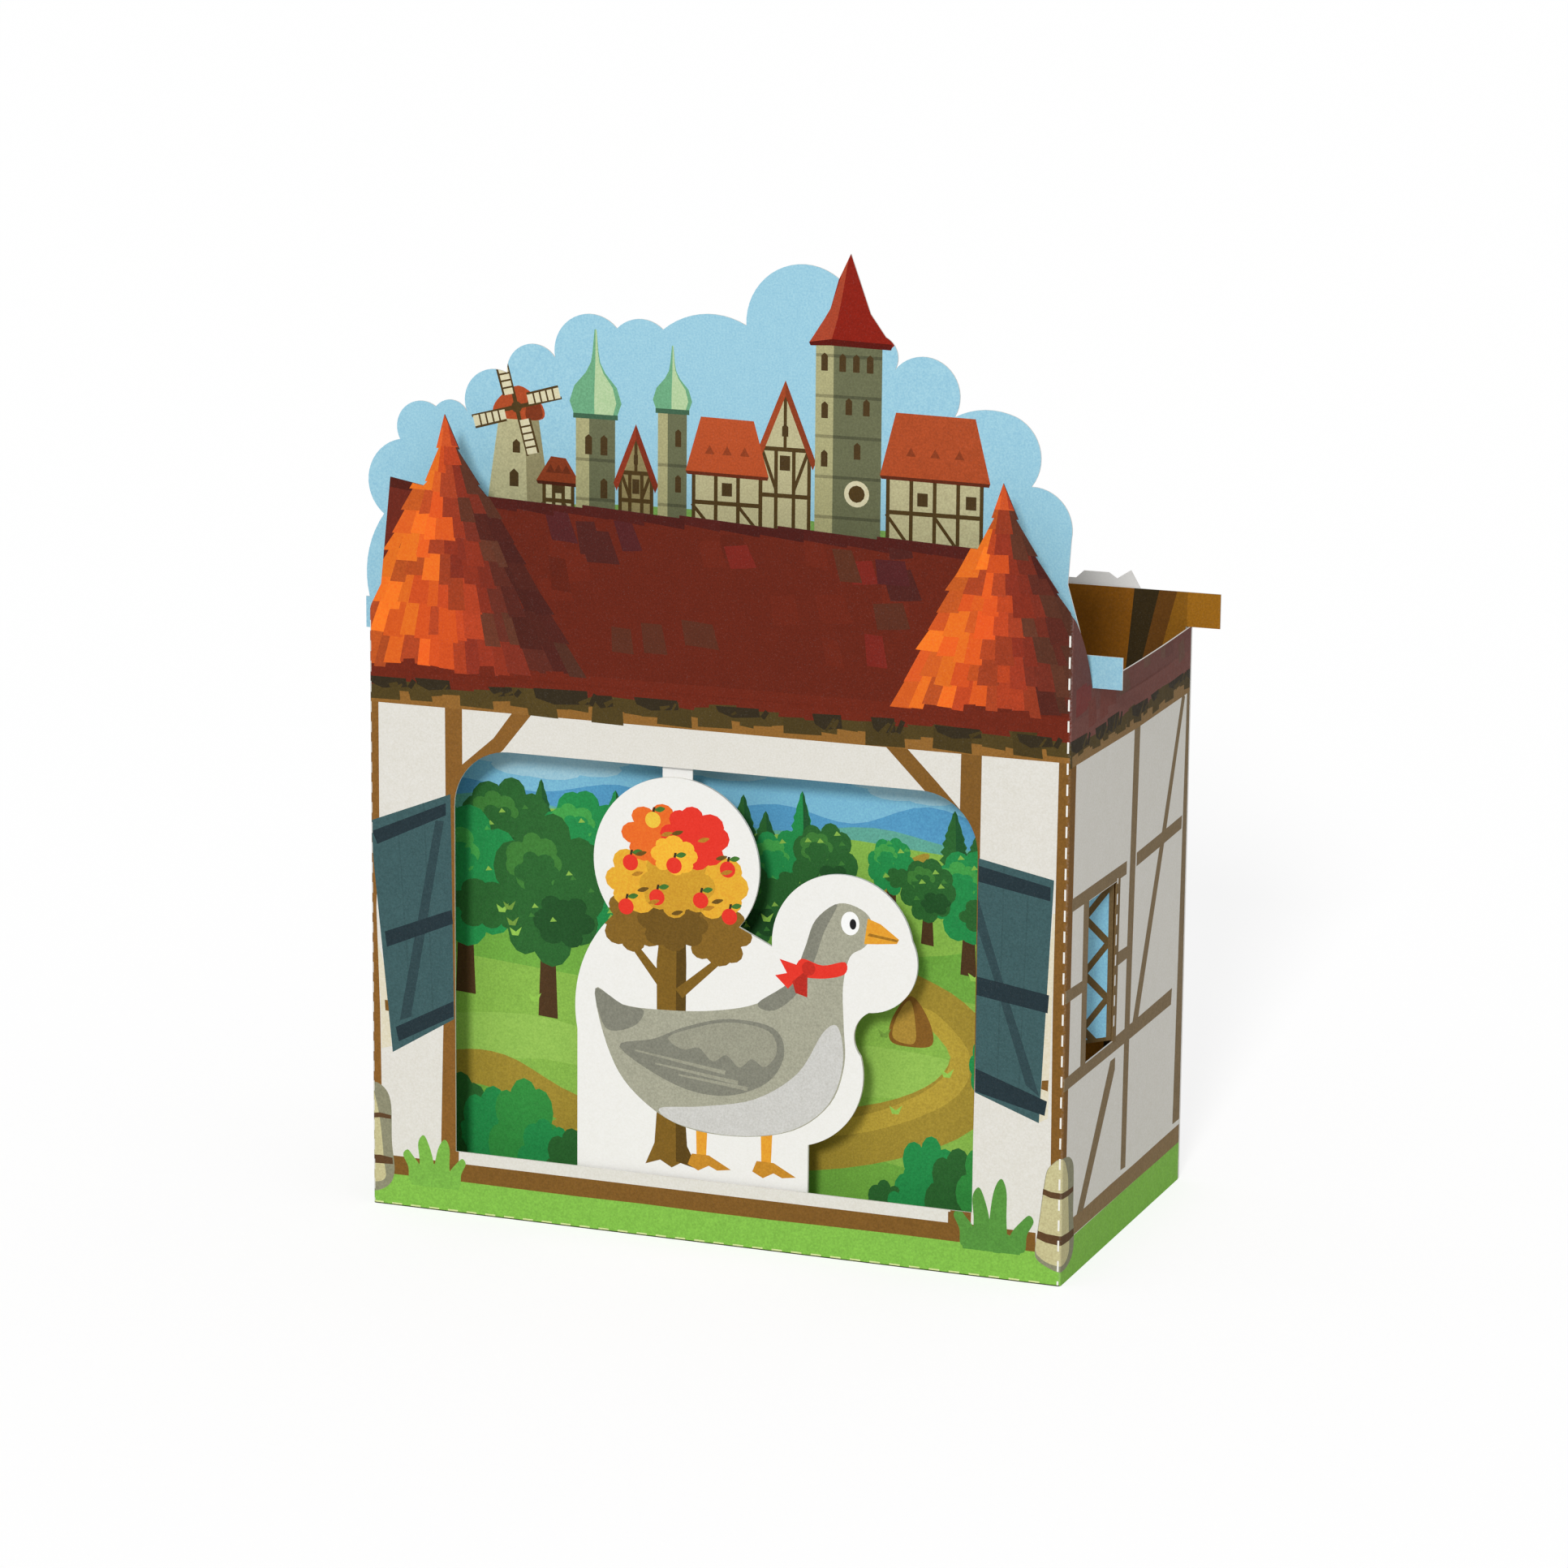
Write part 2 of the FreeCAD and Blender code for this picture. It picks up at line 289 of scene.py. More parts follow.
def card_piece(name, nodes, body, regions, place, folds=(), wear=None, seam=None):
    """A card as a closed mesh. regions lists (loops, front print, back print) on the flat
    sheet, place(u, v, depth) gives the point in millimetres at depth 0 for the front and 1
    for the back, and folds lists lines that the sheet bends along. wear(u, v) is how far
    the print is cracked there, and seam(u, v) may give the colour of the cut edge at a
    place where it isn't bare."""
    points, edges = [], []

    def add(line, closed):
        start = len(points)
        points.extend(Vector(p) for p in line)
        edges.extend((start + k, start + k + 1) for k in range(len(line) - 1))
        if closed:
            edges.append((start + len(line) - 1, start))

    for loops, front, back in regions:
        for loop in loops:
            add(loop, True)
        for art in (front, back):
            for _, shape in art.shapes if art else ():
                add(shape, True)
    for fold in folds:
        add(fold, False)
    corners = np.array([p for loops, front, back in regions for loop in loops for p in loop])
    low, high = corners.min(0), corners.max(0)
    for u in np.arange(low[0] + WARP_GRID / 2, high[0], WARP_GRID):
        for v in np.arange(low[1] + WARP_GRID / 2, high[1], WARP_GRID):
            points.append(Vector((u, v)))

    flat, _, triangles = delaunay_2d_cdt(points, edges, [], 0, WELD, False)[:3]
    flat = np.array([tuple(p) for p in flat])
    triangles = np.array(triangles)
    centres = flat[triangles].mean(1)
    sides = np.cross(flat[triangles[:, 1]] - flat[triangles[:, 0]],
                     flat[triangles[:, 2]] - flat[triangles[:, 0]])
    kept = np.zeros(len(triangles), bool)
    inks = [np.zeros((len(triangles), 4)), np.zeros((len(triangles), 4))]
    for loops, front, back in regions:
        where = np.zeros(len(triangles), bool)
        for loop in loops:
            where ^= inside(loop, centres)
        where &= np.abs(sides) > SLIVER
        kept |= where
        for art, colours in zip((front, back), inks):
            if art:
                lay_print(art, centres, where, colours)
    triangles, inks = triangles[kept], [ink[kept] for ink in inks]
    turned = sides[kept] < 0
    triangles[turned] = triangles[turned][:, ::-1]

    used, triangles = np.unique(triangles, return_inverse=True)
    triangles = triangles.reshape(-1, 3)
    flat = flat[used]
    count = len(flat)
    corners = [Vector(place(u, v, depth)) * MM for depth in (0, 1) for u, v in flat]
    a, b, c = triangles[0]
    normal = (corners[b] - corners[a]).cross(corners[c] - corners[a])
    if normal.dot(corners[a] - corners[a + count]) < 0:
        triangles = triangles[:, ::-1]
    fronts = [tuple(int(i) for i in t) for t in triangles]
    backs = [tuple(int(i) + count for i in t[::-1]) for t in triangles]
    directed = {(t[k], t[(k + 1) % 3]) for t in fronts for k in range(3)}
    rim = sorted((i, j) for i, j in directed if (j, i) not in directed)
    walls = [(j, i, i + count, j + count) for i, j in rim]

    mesh = bpy.data.meshes.new(name)
    mesh.from_pydata(corners, [], fronts + backs + walls)
    tints = [seam(*(flat[i] + flat[j]) / 2) if seam else None for i, j in rim]
    inked = np.concatenate([inks[0][:, 3], inks[1][:, 3]])
    slots = list(np.where(inked > 0, ON_INK, ON_BARE))
    mesh.polygons.foreach_set("use_smooth", [True] * (2 * len(fronts)) + [False] * len(walls))
    rows = [np.repeat(inks[0], 3, 0), np.repeat(inks[1], 3, 0)]
    for tint in tints:
        slots.append(ON_EDGE if tint is None else ON_INK)
        rows.append(np.tile((*linear(tint or PAPER), 1), (4, 1)))
    mesh.polygons.foreach_set("material_index", np.array(slots, np.int32))
    ink = mesh.color_attributes.new("ink", "FLOAT_COLOR", "CORNER")
    ink.data.foreach_set("color", np.concatenate(rows).astype(np.float32).ravel())
    worn = mesh.attributes.new("worn", "FLOAT", "POINT")
    amounts = [wear(u, v) if wear else 0.0 for u, v in flat]
    worn.data.foreach_set("value", np.array(amounts + amounts, np.float32))
    rim_edges = {frozenset(pair) for i, j in rim for pair in ((i, j), (i + count, j + count))}
    sharp = mesh.attributes.new("sharp_edge", "BOOLEAN", "EDGE")
    sharp.data.foreach_set("value", [frozenset(e.vertices) in rim_edges for e in mesh.edges])
    mesh.update()
    facing = [sheet_normal(place, u, v, depth) for depth in (0, 1) for u, v in flat]
    for k, normal in enumerate(facing):
        outward = (corners[k % count] - corners[k % count + count]) * (1 if k < count else -1)
        if normal.dot(outward) < 0:
            normal.negate()
    normals = [facing[i] for triangle in fronts + backs for i in triangle]
    mesh.normals_split_custom_set(normals + [Vector()] * (4 * len(walls)))

    piece = bpy.data.objects.new(name, mesh)
    bpy.context.scene.collection.objects.link(piece)
    for material in (INK, BARE, EDGE):
        mesh.materials.append(material)
    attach(piece, body)
    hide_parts(*nodes)
    return piece


# Materials


def node(tree, kind, **settings):
    made = tree.nodes.new(kind)
    for name, value in settings.items():
        if name in made.inputs:
            made.inputs[name].default_value = value
        else:
            setattr(made, name, value)
    return made


def noise(tree, scale, detail, stretch=(1, 1, 1)):
    """Noise in the card's own space, with features of about 1 / scale metres."""
    where = node(tree, "ShaderNodeTexCoord")
    spread = node(tree, "ShaderNodeMapping", Scale=stretch)
    made = node(tree, "ShaderNodeTexNoise", Scale=scale, Detail=detail, Roughness=0.6)
    tree.links.new(where.outputs["Object"], spread.inputs["Vector"])
    tree.links.new(spread.outputs["Vector"], made.inputs["Vector"])
    return made.outputs["Fac"]


def ranged(tree, value, low, high, from_low, from_high):
    """A value that goes from low to high as the given one goes between its own limits."""
    made = node(tree, "ShaderNodeMapRange")
    for name, number in zip(("From Min", "From Max", "To Min", "To Max"),
                            (from_low, from_high, low, high)):
        made.inputs[name].default_value = number
    tree.links.new(value, made.inputs["Value"])
    return made.outputs["Result"]


# Where a Mix node has its share and its colours when it mixes colours
MIX_SOCKETS = (0, 6, 7)
MIX_RESULT = 2


def mixed(tree, kind, share, first, second):
    """Two colours mixed. share is a number or a socket, and so are the colours."""
    made = node(tree, "ShaderNodeMix", data_type="RGBA", blend_type=kind)
    for socket, value in zip(MIX_SOCKETS, (share, first, second)):
        if isinstance(value, bpy.types.NodeSocket):
            tree.links.new(value, made.inputs[socket])
        else:
            made.inputs[socket].default_value = value
    return made.outputs[MIX_RESULT]


def paper_material(name, base, grain, roughness, tooth):
    """Matt card: a base colour with fine grain, soft mottling, and the tooth of paper."""
    material = bpy.data.materials.new(name)
    material.use_nodes = True
    tree = material.node_tree
    shader = tree.nodes["Principled BSDF"]
    if base is None:
        print_ink = node(tree, "ShaderNodeAttribute", attribute_name="ink")
        colour = print_ink.outputs["Color"]
    else:
        colour = (*linear(base), 1)
    for scale, detail, play in ((FINE_GRAIN, 2, grain), (MOTTLE, 3, grain / 4)):
        shade = ranged(tree, noise(tree, scale, detail), 0.5 - play, 0.5 + play, 0.3, 0.7)
        colour = mixed(tree, "OVERLAY", 1, colour, shade)
    if base is None:
        specks = ranged(tree, noise(tree, SPECKS, 1), 0, 0.03, 0.60, 0.78)
        colour = mixed(tree, "MIX", specks, colour, (*linear(PAPER), 1))
        worn = node(tree, "ShaderNodeAttribute", attribute_name="worn")
        patchy = ranged(tree, noise(tree, CRACKS, 4), 0, 1, 0.42, 0.62)
        cracked = node(tree, "ShaderNodeMath", operation="MULTIPLY")
        tree.links.new(worn.outputs["Fac"], cracked.inputs[0])
        tree.links.new(patchy, cracked.inputs[1])
        colour = mixed(tree, "MIX", cracked.outputs[0], colour, (*linear(PAPER), 1))
    tree.links.new(colour, shader.inputs["Base Color"])
    rough = ranged(tree, noise(tree, SHEEN, 3), roughness - 0.07, roughness + 0.07, 0.3, 0.7)
    tree.links.new(rough, shader.inputs["Roughness"])
    shader.inputs["Specular IOR Level"].default_value = 0.09
    bump = node(tree, "ShaderNodeBump", Strength=tooth, Distance=0.00005)
    tree.links.new(noise(tree, TOOTH, 5, (1, 1, 0.45)), bump.inputs["Height"])
    tree.links.new(bump.outputs["Normal"], shader.inputs["Normal"])
    return material


INK = paper_material("printed_card", None, 0.075, 0.62, 0.35)
BARE = paper_material("bare_card", (226, 225, 222), 0.03, 0.72, 0.5)
EDGE = paper_material("cut_edge", (236, 234, 228), 0.06, 0.8, 0.8)


# Box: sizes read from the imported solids


def box_mm(node_name):
    low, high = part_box(node_name)
    return [c / MM for c in low], [c / MM for c in high]


FRONT_LOW, FRONT_HIGH = box_mm("front_panel")
HALF = FRONT_HIGH[0]
FRONT_Y = FRONT_LOW[1]
CARD = FRONT_HIGH[1] - FRONT_Y
REAR_Y = box_mm("right_side_panel")[1][1]
SIDE_LENGTH = REAR_Y - FRONT_Y
SIDE_TOP = 103.3


# Prints of the box


def ragged_bar(art, colour, dice, left, low, right, high, step=9, play=0.18):
    """A hand-cut looking bar, whose long edges wander a little."""
    upright = high - low > right - left
    length = (high - low) if upright else (right - left)
    count = max(1, round(length / step))
    first, second = [], []
    for k in range(count + 1):
        at = k / count
        a, b = dice.uniform(-play, play), dice.uniform(-play, play)
        if upright:
            first.append((left + a, low + at * length))
            second.append((right + b, low + at * length))
        else:
            first.append((left + at * length, low + a))
            second.append((left + at * length, high + b))
    art.fill(colour, first + second[::-1])


def eave(art, dice, left, right, beam_low, beam_high, beam=BEAM_LIT, size=1):
    """The broken shingles under a roof, over the beam that they hang on."""
    art.block(beam, left, beam_low, right, beam_high + 4)
    x = left
    ragged = []
    while x < right:
        width = dice.uniform(1.8, 4.4)
        low = beam_high - 0.2 + dice.uniform(-0.5, 0.6)
        ragged += [(x, low), (min(right, x + width), low + dice.uniform(-0.4, 0.4))]
        x += width
    art.fill(EAVE, [(left, beam_high + 6), *ragged, (right, beam_high + 6)])
    x = left - dice.uniform(0, 4)
    while x < right:
        width = dice.uniform(4.6, 7.4) * size
        low = beam_high - (1.4 + dice.uniform(-0.4, 0.4)) * size
        if dice.random() < 0.22:
            low = beam_low - dice.uniform(-0.6, 0.6)
        lean = dice.uniform(-0.4, 1.1)
        art.fill(toned(EAVE, dice.uniform(0.90, 1.06)), [
            (x, beam_high + 3), (x + lean, low + dice.uniform(-0.2, 0.3)),
            (x + width + lean * 0.4, low + dice.uniform(-0.2, 0.3)), (x + width - 0.5, beam_high + 3),
        ])
        x += width + (dice.uniform(0.2, 0.9) if dice.random() < 0.4 else dice.uniform(3, 10))


def roof_band(art, dice, left, right, low, high, roof=ROOF):
    """A roof's lower part: its ragged lower edge, with dark shingles broken out of it."""
    x = left
    edge = []
    while x < right:
        width = dice.uniform(2.2, 6.4)
        z = low + dice.uniform(-0.8, 0.9)
        edge += [(x + dice.uniform(-0.4, 0.4), z), (min(right, x + width), z + dice.uniform(-0.3, 0.3))]
        x += width
    art.fill(roof, [(left, high), *edge, (right, high)])
    art.fill(toned(roof, 1.07), [(left, low + 4), *[(x, z + 0.02) for x, z in edge], (right, low + 4)])
    x = left + dice.uniform(0, 3)
    while x < right - 5:
        width = dice.uniform(3.4, 11)
        top = low + dice.uniform(0.4, 1.2)
        foot = low - dice.uniform(0.9, 1.9)
        art.fill(EAVE_DARK, [
            (x, top), (x + width, top + dice.uniform(-0.2, 0.3)), (x + width + 0.3, foot + 0.5),
            (x + width * 0.4, foot), (x + 0.5, foot + 0.9),
        ])
        strokes = round(width / 1.7)
        for k in range(strokes):
            at = x + width * (k + dice.uniform(0.1, 0.7)) / strokes
            if dice.random() < 0.7 and k > strokes * 0.3:
                art.beam(toned(EAVE, dice.uniform(0.84, 1)),
                         (at + dice.uniform(0.2, 1.9), top - dice.uniform(0.1, 1.1)),
                         (at - dice.uniform(0.1, 0.9), foot + dice.uniform(-0.3, 0.6)),
                         dice.uniform(0.25, 0.6), dice.uniform(0.3, 1.3))
        if dice.random() < 0.5:
            art.beam(EAVE_DARK, (x + width + 1.6, top - 0.2), (x + width + 0.7, foot + 0.4), 0.9)
        x += width + (dice.uniform(0.4, 2) if dice.random() < 0.4 else dice.uniform(4, 10))


def loose_shingles(art, dice, count, left, right, low, high, tones, lean=-0.25):
    """Shingles of other tones, strewn over a roof, some of them two or three together."""
    for _ in range(count):
        x, z = dice.uniform(left, right), dice.uniform(low, high)
        width, height = dice.uniform(3.2, 6.4), dice.uniform(3.8, 6.2)
        slant = lean * height + dice.uniform(-0.8, 0.8)
        drop = dice.uniform(-0.6, 0.6)
        art.fill(dice.choice(tones), [
            (x, z), (x + width * 0.55, z + drop * 0.4), (x + width, z + drop),
            (x + width + slant, z + height), (x + slant + 0.5, z + height - drop),
        ])


CONE_TONES = [
    (0.00, (214, 88, 34)), (0.05, (242, 120, 34)), (0.22, (240, 112, 34)), (0.31, (226, 88, 32)),
    (0.41, (200, 74, 33)), (0.51, (166, 60, 33)), (0.60, (138, 48, 30)), (0.76, (98, 44, 32)),
    (0.86, (84, 36, 27)), (1.00, (72, 30, 24)),
]


# The share of CONE_TONES that is in the light
LIT_TONES = 0.62


def cone_tone(share, lit, dice):
    """The colour of a shingle at that share of the way across a cone, which falls into
    the shade past the share lit."""
    if share < lit:
        share = share / lit * LIT_TONES
    else:
        share = LIT_TONES + (share - lit) / (1 - lit) * 0.38
    share = min(1, max(0, share + dice.gauss(0, 0.075)))
    for (a, low), (b, high) in zip(CONE_TONES, CONE_TONES[1:]):
        if share <= b:
            colour = between(low, high, (share - a) / (b - a))
            break
    if share < LIT_TONES and dice.random() < 0.30:
        colour = between(colour, (156, 62, 33), dice.uniform(0.3, 0.9))
    if share > 0.68 and dice.random() < 0.3:
        colour = between(colour, (92, 62, 42), 0.5)
    return toned(colour, dice.uniform(0.93, 1.06))


def shingled_cone(art, dice, apex, tiers, slopes, lit):
    """A turret's cone roof under a plain tip. slopes are how far its left and right edges
    run out for each millimetre down, and tiers the heights that its rows end at. Rows are
    laid from the foot up, each over the next."""
    x0, top = apex

    def at(share, z):
        reach = top - z
        return x0 - slopes[0] * reach + share * (slopes[0] + slopes[1]) * reach

    for high, low in list(zip(tiers, tiers[1:]))[::-1]:
        across = at(1, low) - at(0, low)
        count = max(3, round(across / 2.7))
        cuts = [0] + [(i + dice.uniform(-0.3, 0.3)) / count for i in range(1, count)] + [1]
        head = high + 1.2
        for a, b in zip(cuts, cuts[1:]):
            drop = dice.choice([-0.9, -0.5, -0.1, 0, 0.2, 0.7]) + dice.uniform(-0.15, 0.15)
            out = 0.8 if a == 0 else 0.12
            back = 0.6 if b == 1 else 0.12
            lean = dice.uniform(-0.25, 0.15)
            art.fill(cone_tone((a + b) / 2, lit, dice), [
                (at(a, head) - 0.1, head), (at(b, head) + 0.1, head),
                (at(b, low) + back, low + drop + dice.uniform(-0.25, 0.25)),
                (at(a, low) - out + lean, low + drop),
            ])
    tip = tiers[0]
    art.fill((206, 84, 38), [(x0, top + 2), (at(0, tip) - 0.6, tip), (at(1, tip) + 0.5, tip)])
    art.fill((172, 62, 34), [(x0, top + 2), (at(0.66, tip), tip + 0.2), (at(1, tip) + 0.5, tip)])
    art.fill((226, 98, 42), [
        (x0 - 0.2, between(tip, top, 0.6)), (at(0, tip) - 0.6, tip), (at(0.32, tip), tip),
    ])


def shutter(art, board, battens, brace):
    """An open board shutter with three battens and a brace, drawn at a slant."""
    art.fill(SHUTTER, board)
    for share in (0.34, 0.67):
        top, foot = between(board[0], board[1], share), between(board[3], board[2], share)
        art.beam(toned(SHUTTER, 0.94), top, foot, 0.28)
    art.fill(SHUTTER_BRACE, brace)
    for batten in battens:
        art.fill(SHUTTER_BAR, batten)


def tuft(art, colour, blades, low, left, right):
    """A tuft of grass: its blades fan out from one foot."""
    middle = (left + right) / 2
    art.fill(colour, [
        (left + 1.2, low), (right - 1, low), (right - 0.6, low + 2.6), (middle, low + 4.4),
        (left + 0.6, low + 2.8),
    ])
    for x, top, width in blades:
        foot = between(x, middle, 0.34)
        lean = (x - foot) * 0.28
        art.soft(colour, [
            (foot - width * 0.52, low + 0.6),
            (between(foot, x, 0.5) - width * 0.50 - lean, between(low, top, 0.5)),
            (x - width * 0.40 - lean * 0.3, between(low, top, 0.84)), (x, top),
            (x + width * 0.34 - lean * 0.3, between(low, top, 0.84)),
            (between(foot, x, 0.5) + width * 0.50 - lean, between(low, top, 0.5)),
            (foot + width * 0.52, low + 0.6),
        ])


def stone_post(art, outline, light, bands):
    """A stone at a corner of the house, with two iron bands round it."""
    art.soft(STONE, outline)
    art.soft(STONE_LIGHT, light)
    for band in bands:
        art.fill(STONE_BAND, band)


def corner_stone(art, start):
    """The right-hand stone, which goes on round the fold. Its points are counted across
    from the middle of the front, and start is where this print begins on that count."""
    def shifted(points):
        return [(x - start, z) for x, z in points]

    stone_post(
        art,
        shifted([
            (64.6, 22.8), (63.2, 21.8), (62.2, 20.4), (61.7, 17.5), (61.2, 13.3), (60.7, 9.3),
            (60.3, 6), (60.7, 4.4), (62.6, 3.2), (65, 2.5), (68.6, 2.6), (71.4, 3.9), (72.3, 6.6),
            (71.6, 11), (71.5, 16), (71.2, 20), (69.6, 21.8), (67.4, 22.6),
        ]),
        shifted([
            (64.6, 22.7), (63.2, 21.7), (62.3, 20.4), (61.8, 17.5), (61.3, 13.3), (60.8, 9.3),
            (60.4, 6), (61.5, 4.6), (63.4, 3.8), (66.6, 3.5), (68.6, 4.1), (69.7, 5.6), (69.3, 9),
            (69, 12), (68.5, 16), (68.2, 19), (66.4, 22),
        ]),
        [
            shifted([
                (61.6, 17.2), (63, 16.8), (65, 16.7), (68.6, 16.4), (71.4, 16.3), (71.4, 15.4),
                (68.7, 15.3), (65, 15.6), (63, 15.7), (61.5, 16.2),
            ]),
            shifted([
                (60.8, 9.6), (62.3, 9.2), (65, 9), (69.2, 8.6), (71.9, 8.6), (72.2, 7.2), (69.4, 7),
                (65, 7.3), (62.3, 7.6), (60.6, 8.2),
            ]),
        ],
    )


LEFT_TIERS = (138.8, 134.8, 130.9, 126.7, 122.8, 119, 114.8, 110, 105, 99.6)
RIGHT_TIERS = (134.8, 131.2, 127.5, 123.7, 120, 117, 113.4, 109, 104.5, 100.1)


def front_art():
    dice = random.Random(11)
    art = Art(WALL)
    art.block(GRASS, -70, -5, 70, 5.9)
    ragged_bar(art, RAIL, dice, -61.6, 5.8, 60.4, 9.25, 12, 0.1)
    art.fill(WALL, [(-48.2, 9.2), (44.4, 9.1), (44.4, 11.6), (-48.2, 11.6)])
    art.fill(RAIL, [(44.4, 9), (48.4, 9), (48.4, 11.3), (44.4, 11.1)])
    cream = (225, 217, 192)
    art.fill(cream, [(62.4, 66), (63.1, 66), (62.5, 48), (62.2, 29.8), (60.6, 28.9), (61.4, 50)])
    art.fill(cream, [(-64.2, 50), (-62.4, 44), (-61.2, 29.6), (-63.2, 29), (-63.3, 38)])
    art.fill(TIMBER, [
        (-66, 96), (-63.3, 96), (-63.3, 70), (-64, 55), (-63.4, 36), (-63.2, 18), (-66, 18),
    ])
    art.fill(TIMBER, [
        (-50.5, 96), (-47.2, 96), (-47.2, 60), (-48.2, 9), (-51.7, 9), (-51.2, 30), (-50.4, 60),
    ])
    deep = between(TIMBER, RAIL, 0.9)
    art.fill(deep, [(45.5, 96), (49.2, 96), (49.1, 60), (48.6, 9), (44.8, 9)])
    art.fill(deep, [(63, 96), (66, 96), (66, 18), (62.9, 18), (62.7, 50)])
    art.fill(TIMBER, [
        (-37.2, 93), (-33.5, 93), (-39.4, 85.6), (-47.4, 78.6), (-47.4, 82.2), (-41.2, 87.6),
    ])
    art.fill(deep, [(31.2, 93), (35.1, 93), (41.4, 86.8), (45.8, 82.2), (45.8, 78.4), (39.4, 84.9)])
    eave(art, dice, -66, 66, 92.3, 94.4)
    roof_band(art, dice, -66, 66, 96.2, 150)
    loose_shingles(art, dice, 11, -36, 34, 101, 123, [toned(ROOF, 0.93), toned(ROOF, 1.05)])
    loose_shingles(art, dice, 9, -34, 34, 101, 122, [ROOF_DARK, ROOF_LIGHT, (92, 46, 30)])
    loose_shingles(art, dice, 6, -36, 36, 120, 125, [(84, 34, 34), (92, 48, 30), ROOF_DARK])
    ridge_tiles(art, dice)
    art.fill(GABLE, [(-61, 134), (-50, 131.5), (-50, 100), (-66, 100)])
    art.fill(toned(GABLE, 0.76), [(-61, 134), (-50, 131.5), (-50, 129.6), (-61, 131)])
    shingled_cone(art, dice, (-50.3, 144.4), LEFT_TIERS, (0.43, 0.585), 0.66)
    shingled_cone(art, dice, (52.2, 139.3), RIGHT_TIERS, (0.478, 0.60), 0.61)
    for x, width, high in (
        (-58.6, 2.6, 100.7), (-44, 3.2, 100.5), (-31.4, 3.8, 100.6), (45.6, 2.6, 101.1),
        (54.2, 3.6, 100.8),
    ):
        art.fill(toned(ROOF, 1.08), [
            (x, 98.5), (x + width, 98.5), (x + width - 0.3, high), (x + 0.2, high - 0.2),
        ])
    shutter(
        art, [(-65.2, 70.6), (-49.5, 76.8), (-49, 35.8), (-61, 28.5)],
        [
            [(-64.7, 68.8), (-50.4, 75.1), (-50.4, 72.9), (-63.7, 66.5)],
            [(-62.4, 50.6), (-49.4, 55.8), (-49.1, 53.3), (-62, 47.8)],
            [(-60.4, 33.2), (-49.1, 39.1), (-49.1, 36.3), (-59.8, 30.6)],
        ],
        [(-52.4, 71.8), (-50.8, 71.8), (-57.4, 35.4), (-59.6, 34.5)],
    )
    shutter(
        art, [(48.9, 74.4), (62.5, 71.8), (60.6, 28.8), (48.9, 33)],
        [
            [(48.9, 73.1), (61.9, 70.5), (61.9, 68.1), (48.9, 70.3)],
            [(48.9, 53.6), (62, 51.6), (61.8, 48.4), (48.9, 50.3)],
            [(48.9, 37.3), (62, 32.8), (61.6, 30.2), (48.9, 33.2)],
        ],
        [(48.9, 67.5), (54.2, 51.5), (60.6, 33.5), (58.1, 35.3), (52.1, 53.2), (48.9, 62)],
    )
    art.fill(RAIL, [(61, 36.4), (62.2, 36.6), (62.1, 34.6), (60.9, 34.9)])
    art.fill(RAIL, [(-62.5, 38), (-61.9, 38), (-61.7, 36), (-62.4, 36.1)])
    tuft(art, TUFT_LIGHT, [
        (-58.2, 10.7, 2.6), (-55.1, 13.7, 2.7), (-50.9, 13.3, 2.8), (-47.5, 10.1, 2.4),
    ], 4.2, -58.6, -47.2)
    tuft(art, TUFT_DARK, [
        (46.4, 11.8, 2.9), (49.9, 16.1, 2.9), (54, 18.1, 3), (59.2, 12.1, 2.9),
    ], 4.8, 46, 58.6)
    stone_post(
        art,
        [
            (-67.6, 3), (-67.2, 14), (-66.4, 21), (-64.6, 22.6), (-62.4, 21.4), (-61.4, 18.6),
            (-61.3, 12), (-60.8, 6.6), (-61.8, 3.8), (-64.6, 2.3),
        ],
        [
            (-67, 4.6), (-66.6, 14), (-65.6, 20.6), (-64.7, 20.4), (-63.6, 15.6), (-62.9, 8.4),
            (-62.6, 5), (-64.6, 4),
        ],
        [
            [(-66, 16.6), (-63.6, 17), (-61.4, 16.7), (-61.4, 16), (-63.6, 16.1), (-66, 15.7)],
            [(-66, 8.9), (-63.6, 9.1), (-61.2, 8.8), (-61.1, 7.6), (-63.6, 7.5), (-66, 7.4)],
        ],
    )
    corner_stone(art, 0)
    art.dashes((HALF - DASH_IN, DASH_FIRST), (HALF - DASH_IN, 117))
    art.dashes((-HALF + 0.08, DASH_FIRST), (-HALF + 0.08, 107.5))
    # Painted shadow: a dark line along the foot of the front, where it meets the floor, with the fold's
    # pale dashes over it
    art.block(FOOT_SHADOW, -70, -1, 70, 0.2)
    art.dashes((-HALF + 1, 0.34), (HALF - 1, 0.34), FOOT_DASH, 0.28)
    return art


def ridge_tiles(art, dice):
    """The dark row of tiles along the ridge, each a little out of line."""
    x = -46.0
    while x < 50:
        width = dice.uniform(6.5, 10.5)
        top = between(132, 129, (x + 46) / 96)
        low = top - 3.4 + dice.uniform(-0.35, 0.35)
        art.fill(toned(RIDGE, dice.uniform(0.9, 1.1)), [
            (x, top + 3), (x, low + 0.5), (x + width, low - 0.3), (x + width, top + 3),
        ])
        x += width


SIDE_WINDOW = (11.6, 27.1, 36.9, 65.8)
HINGE_WOOD = (122, 99, 63)
LATTICE_PITCH = 5.0


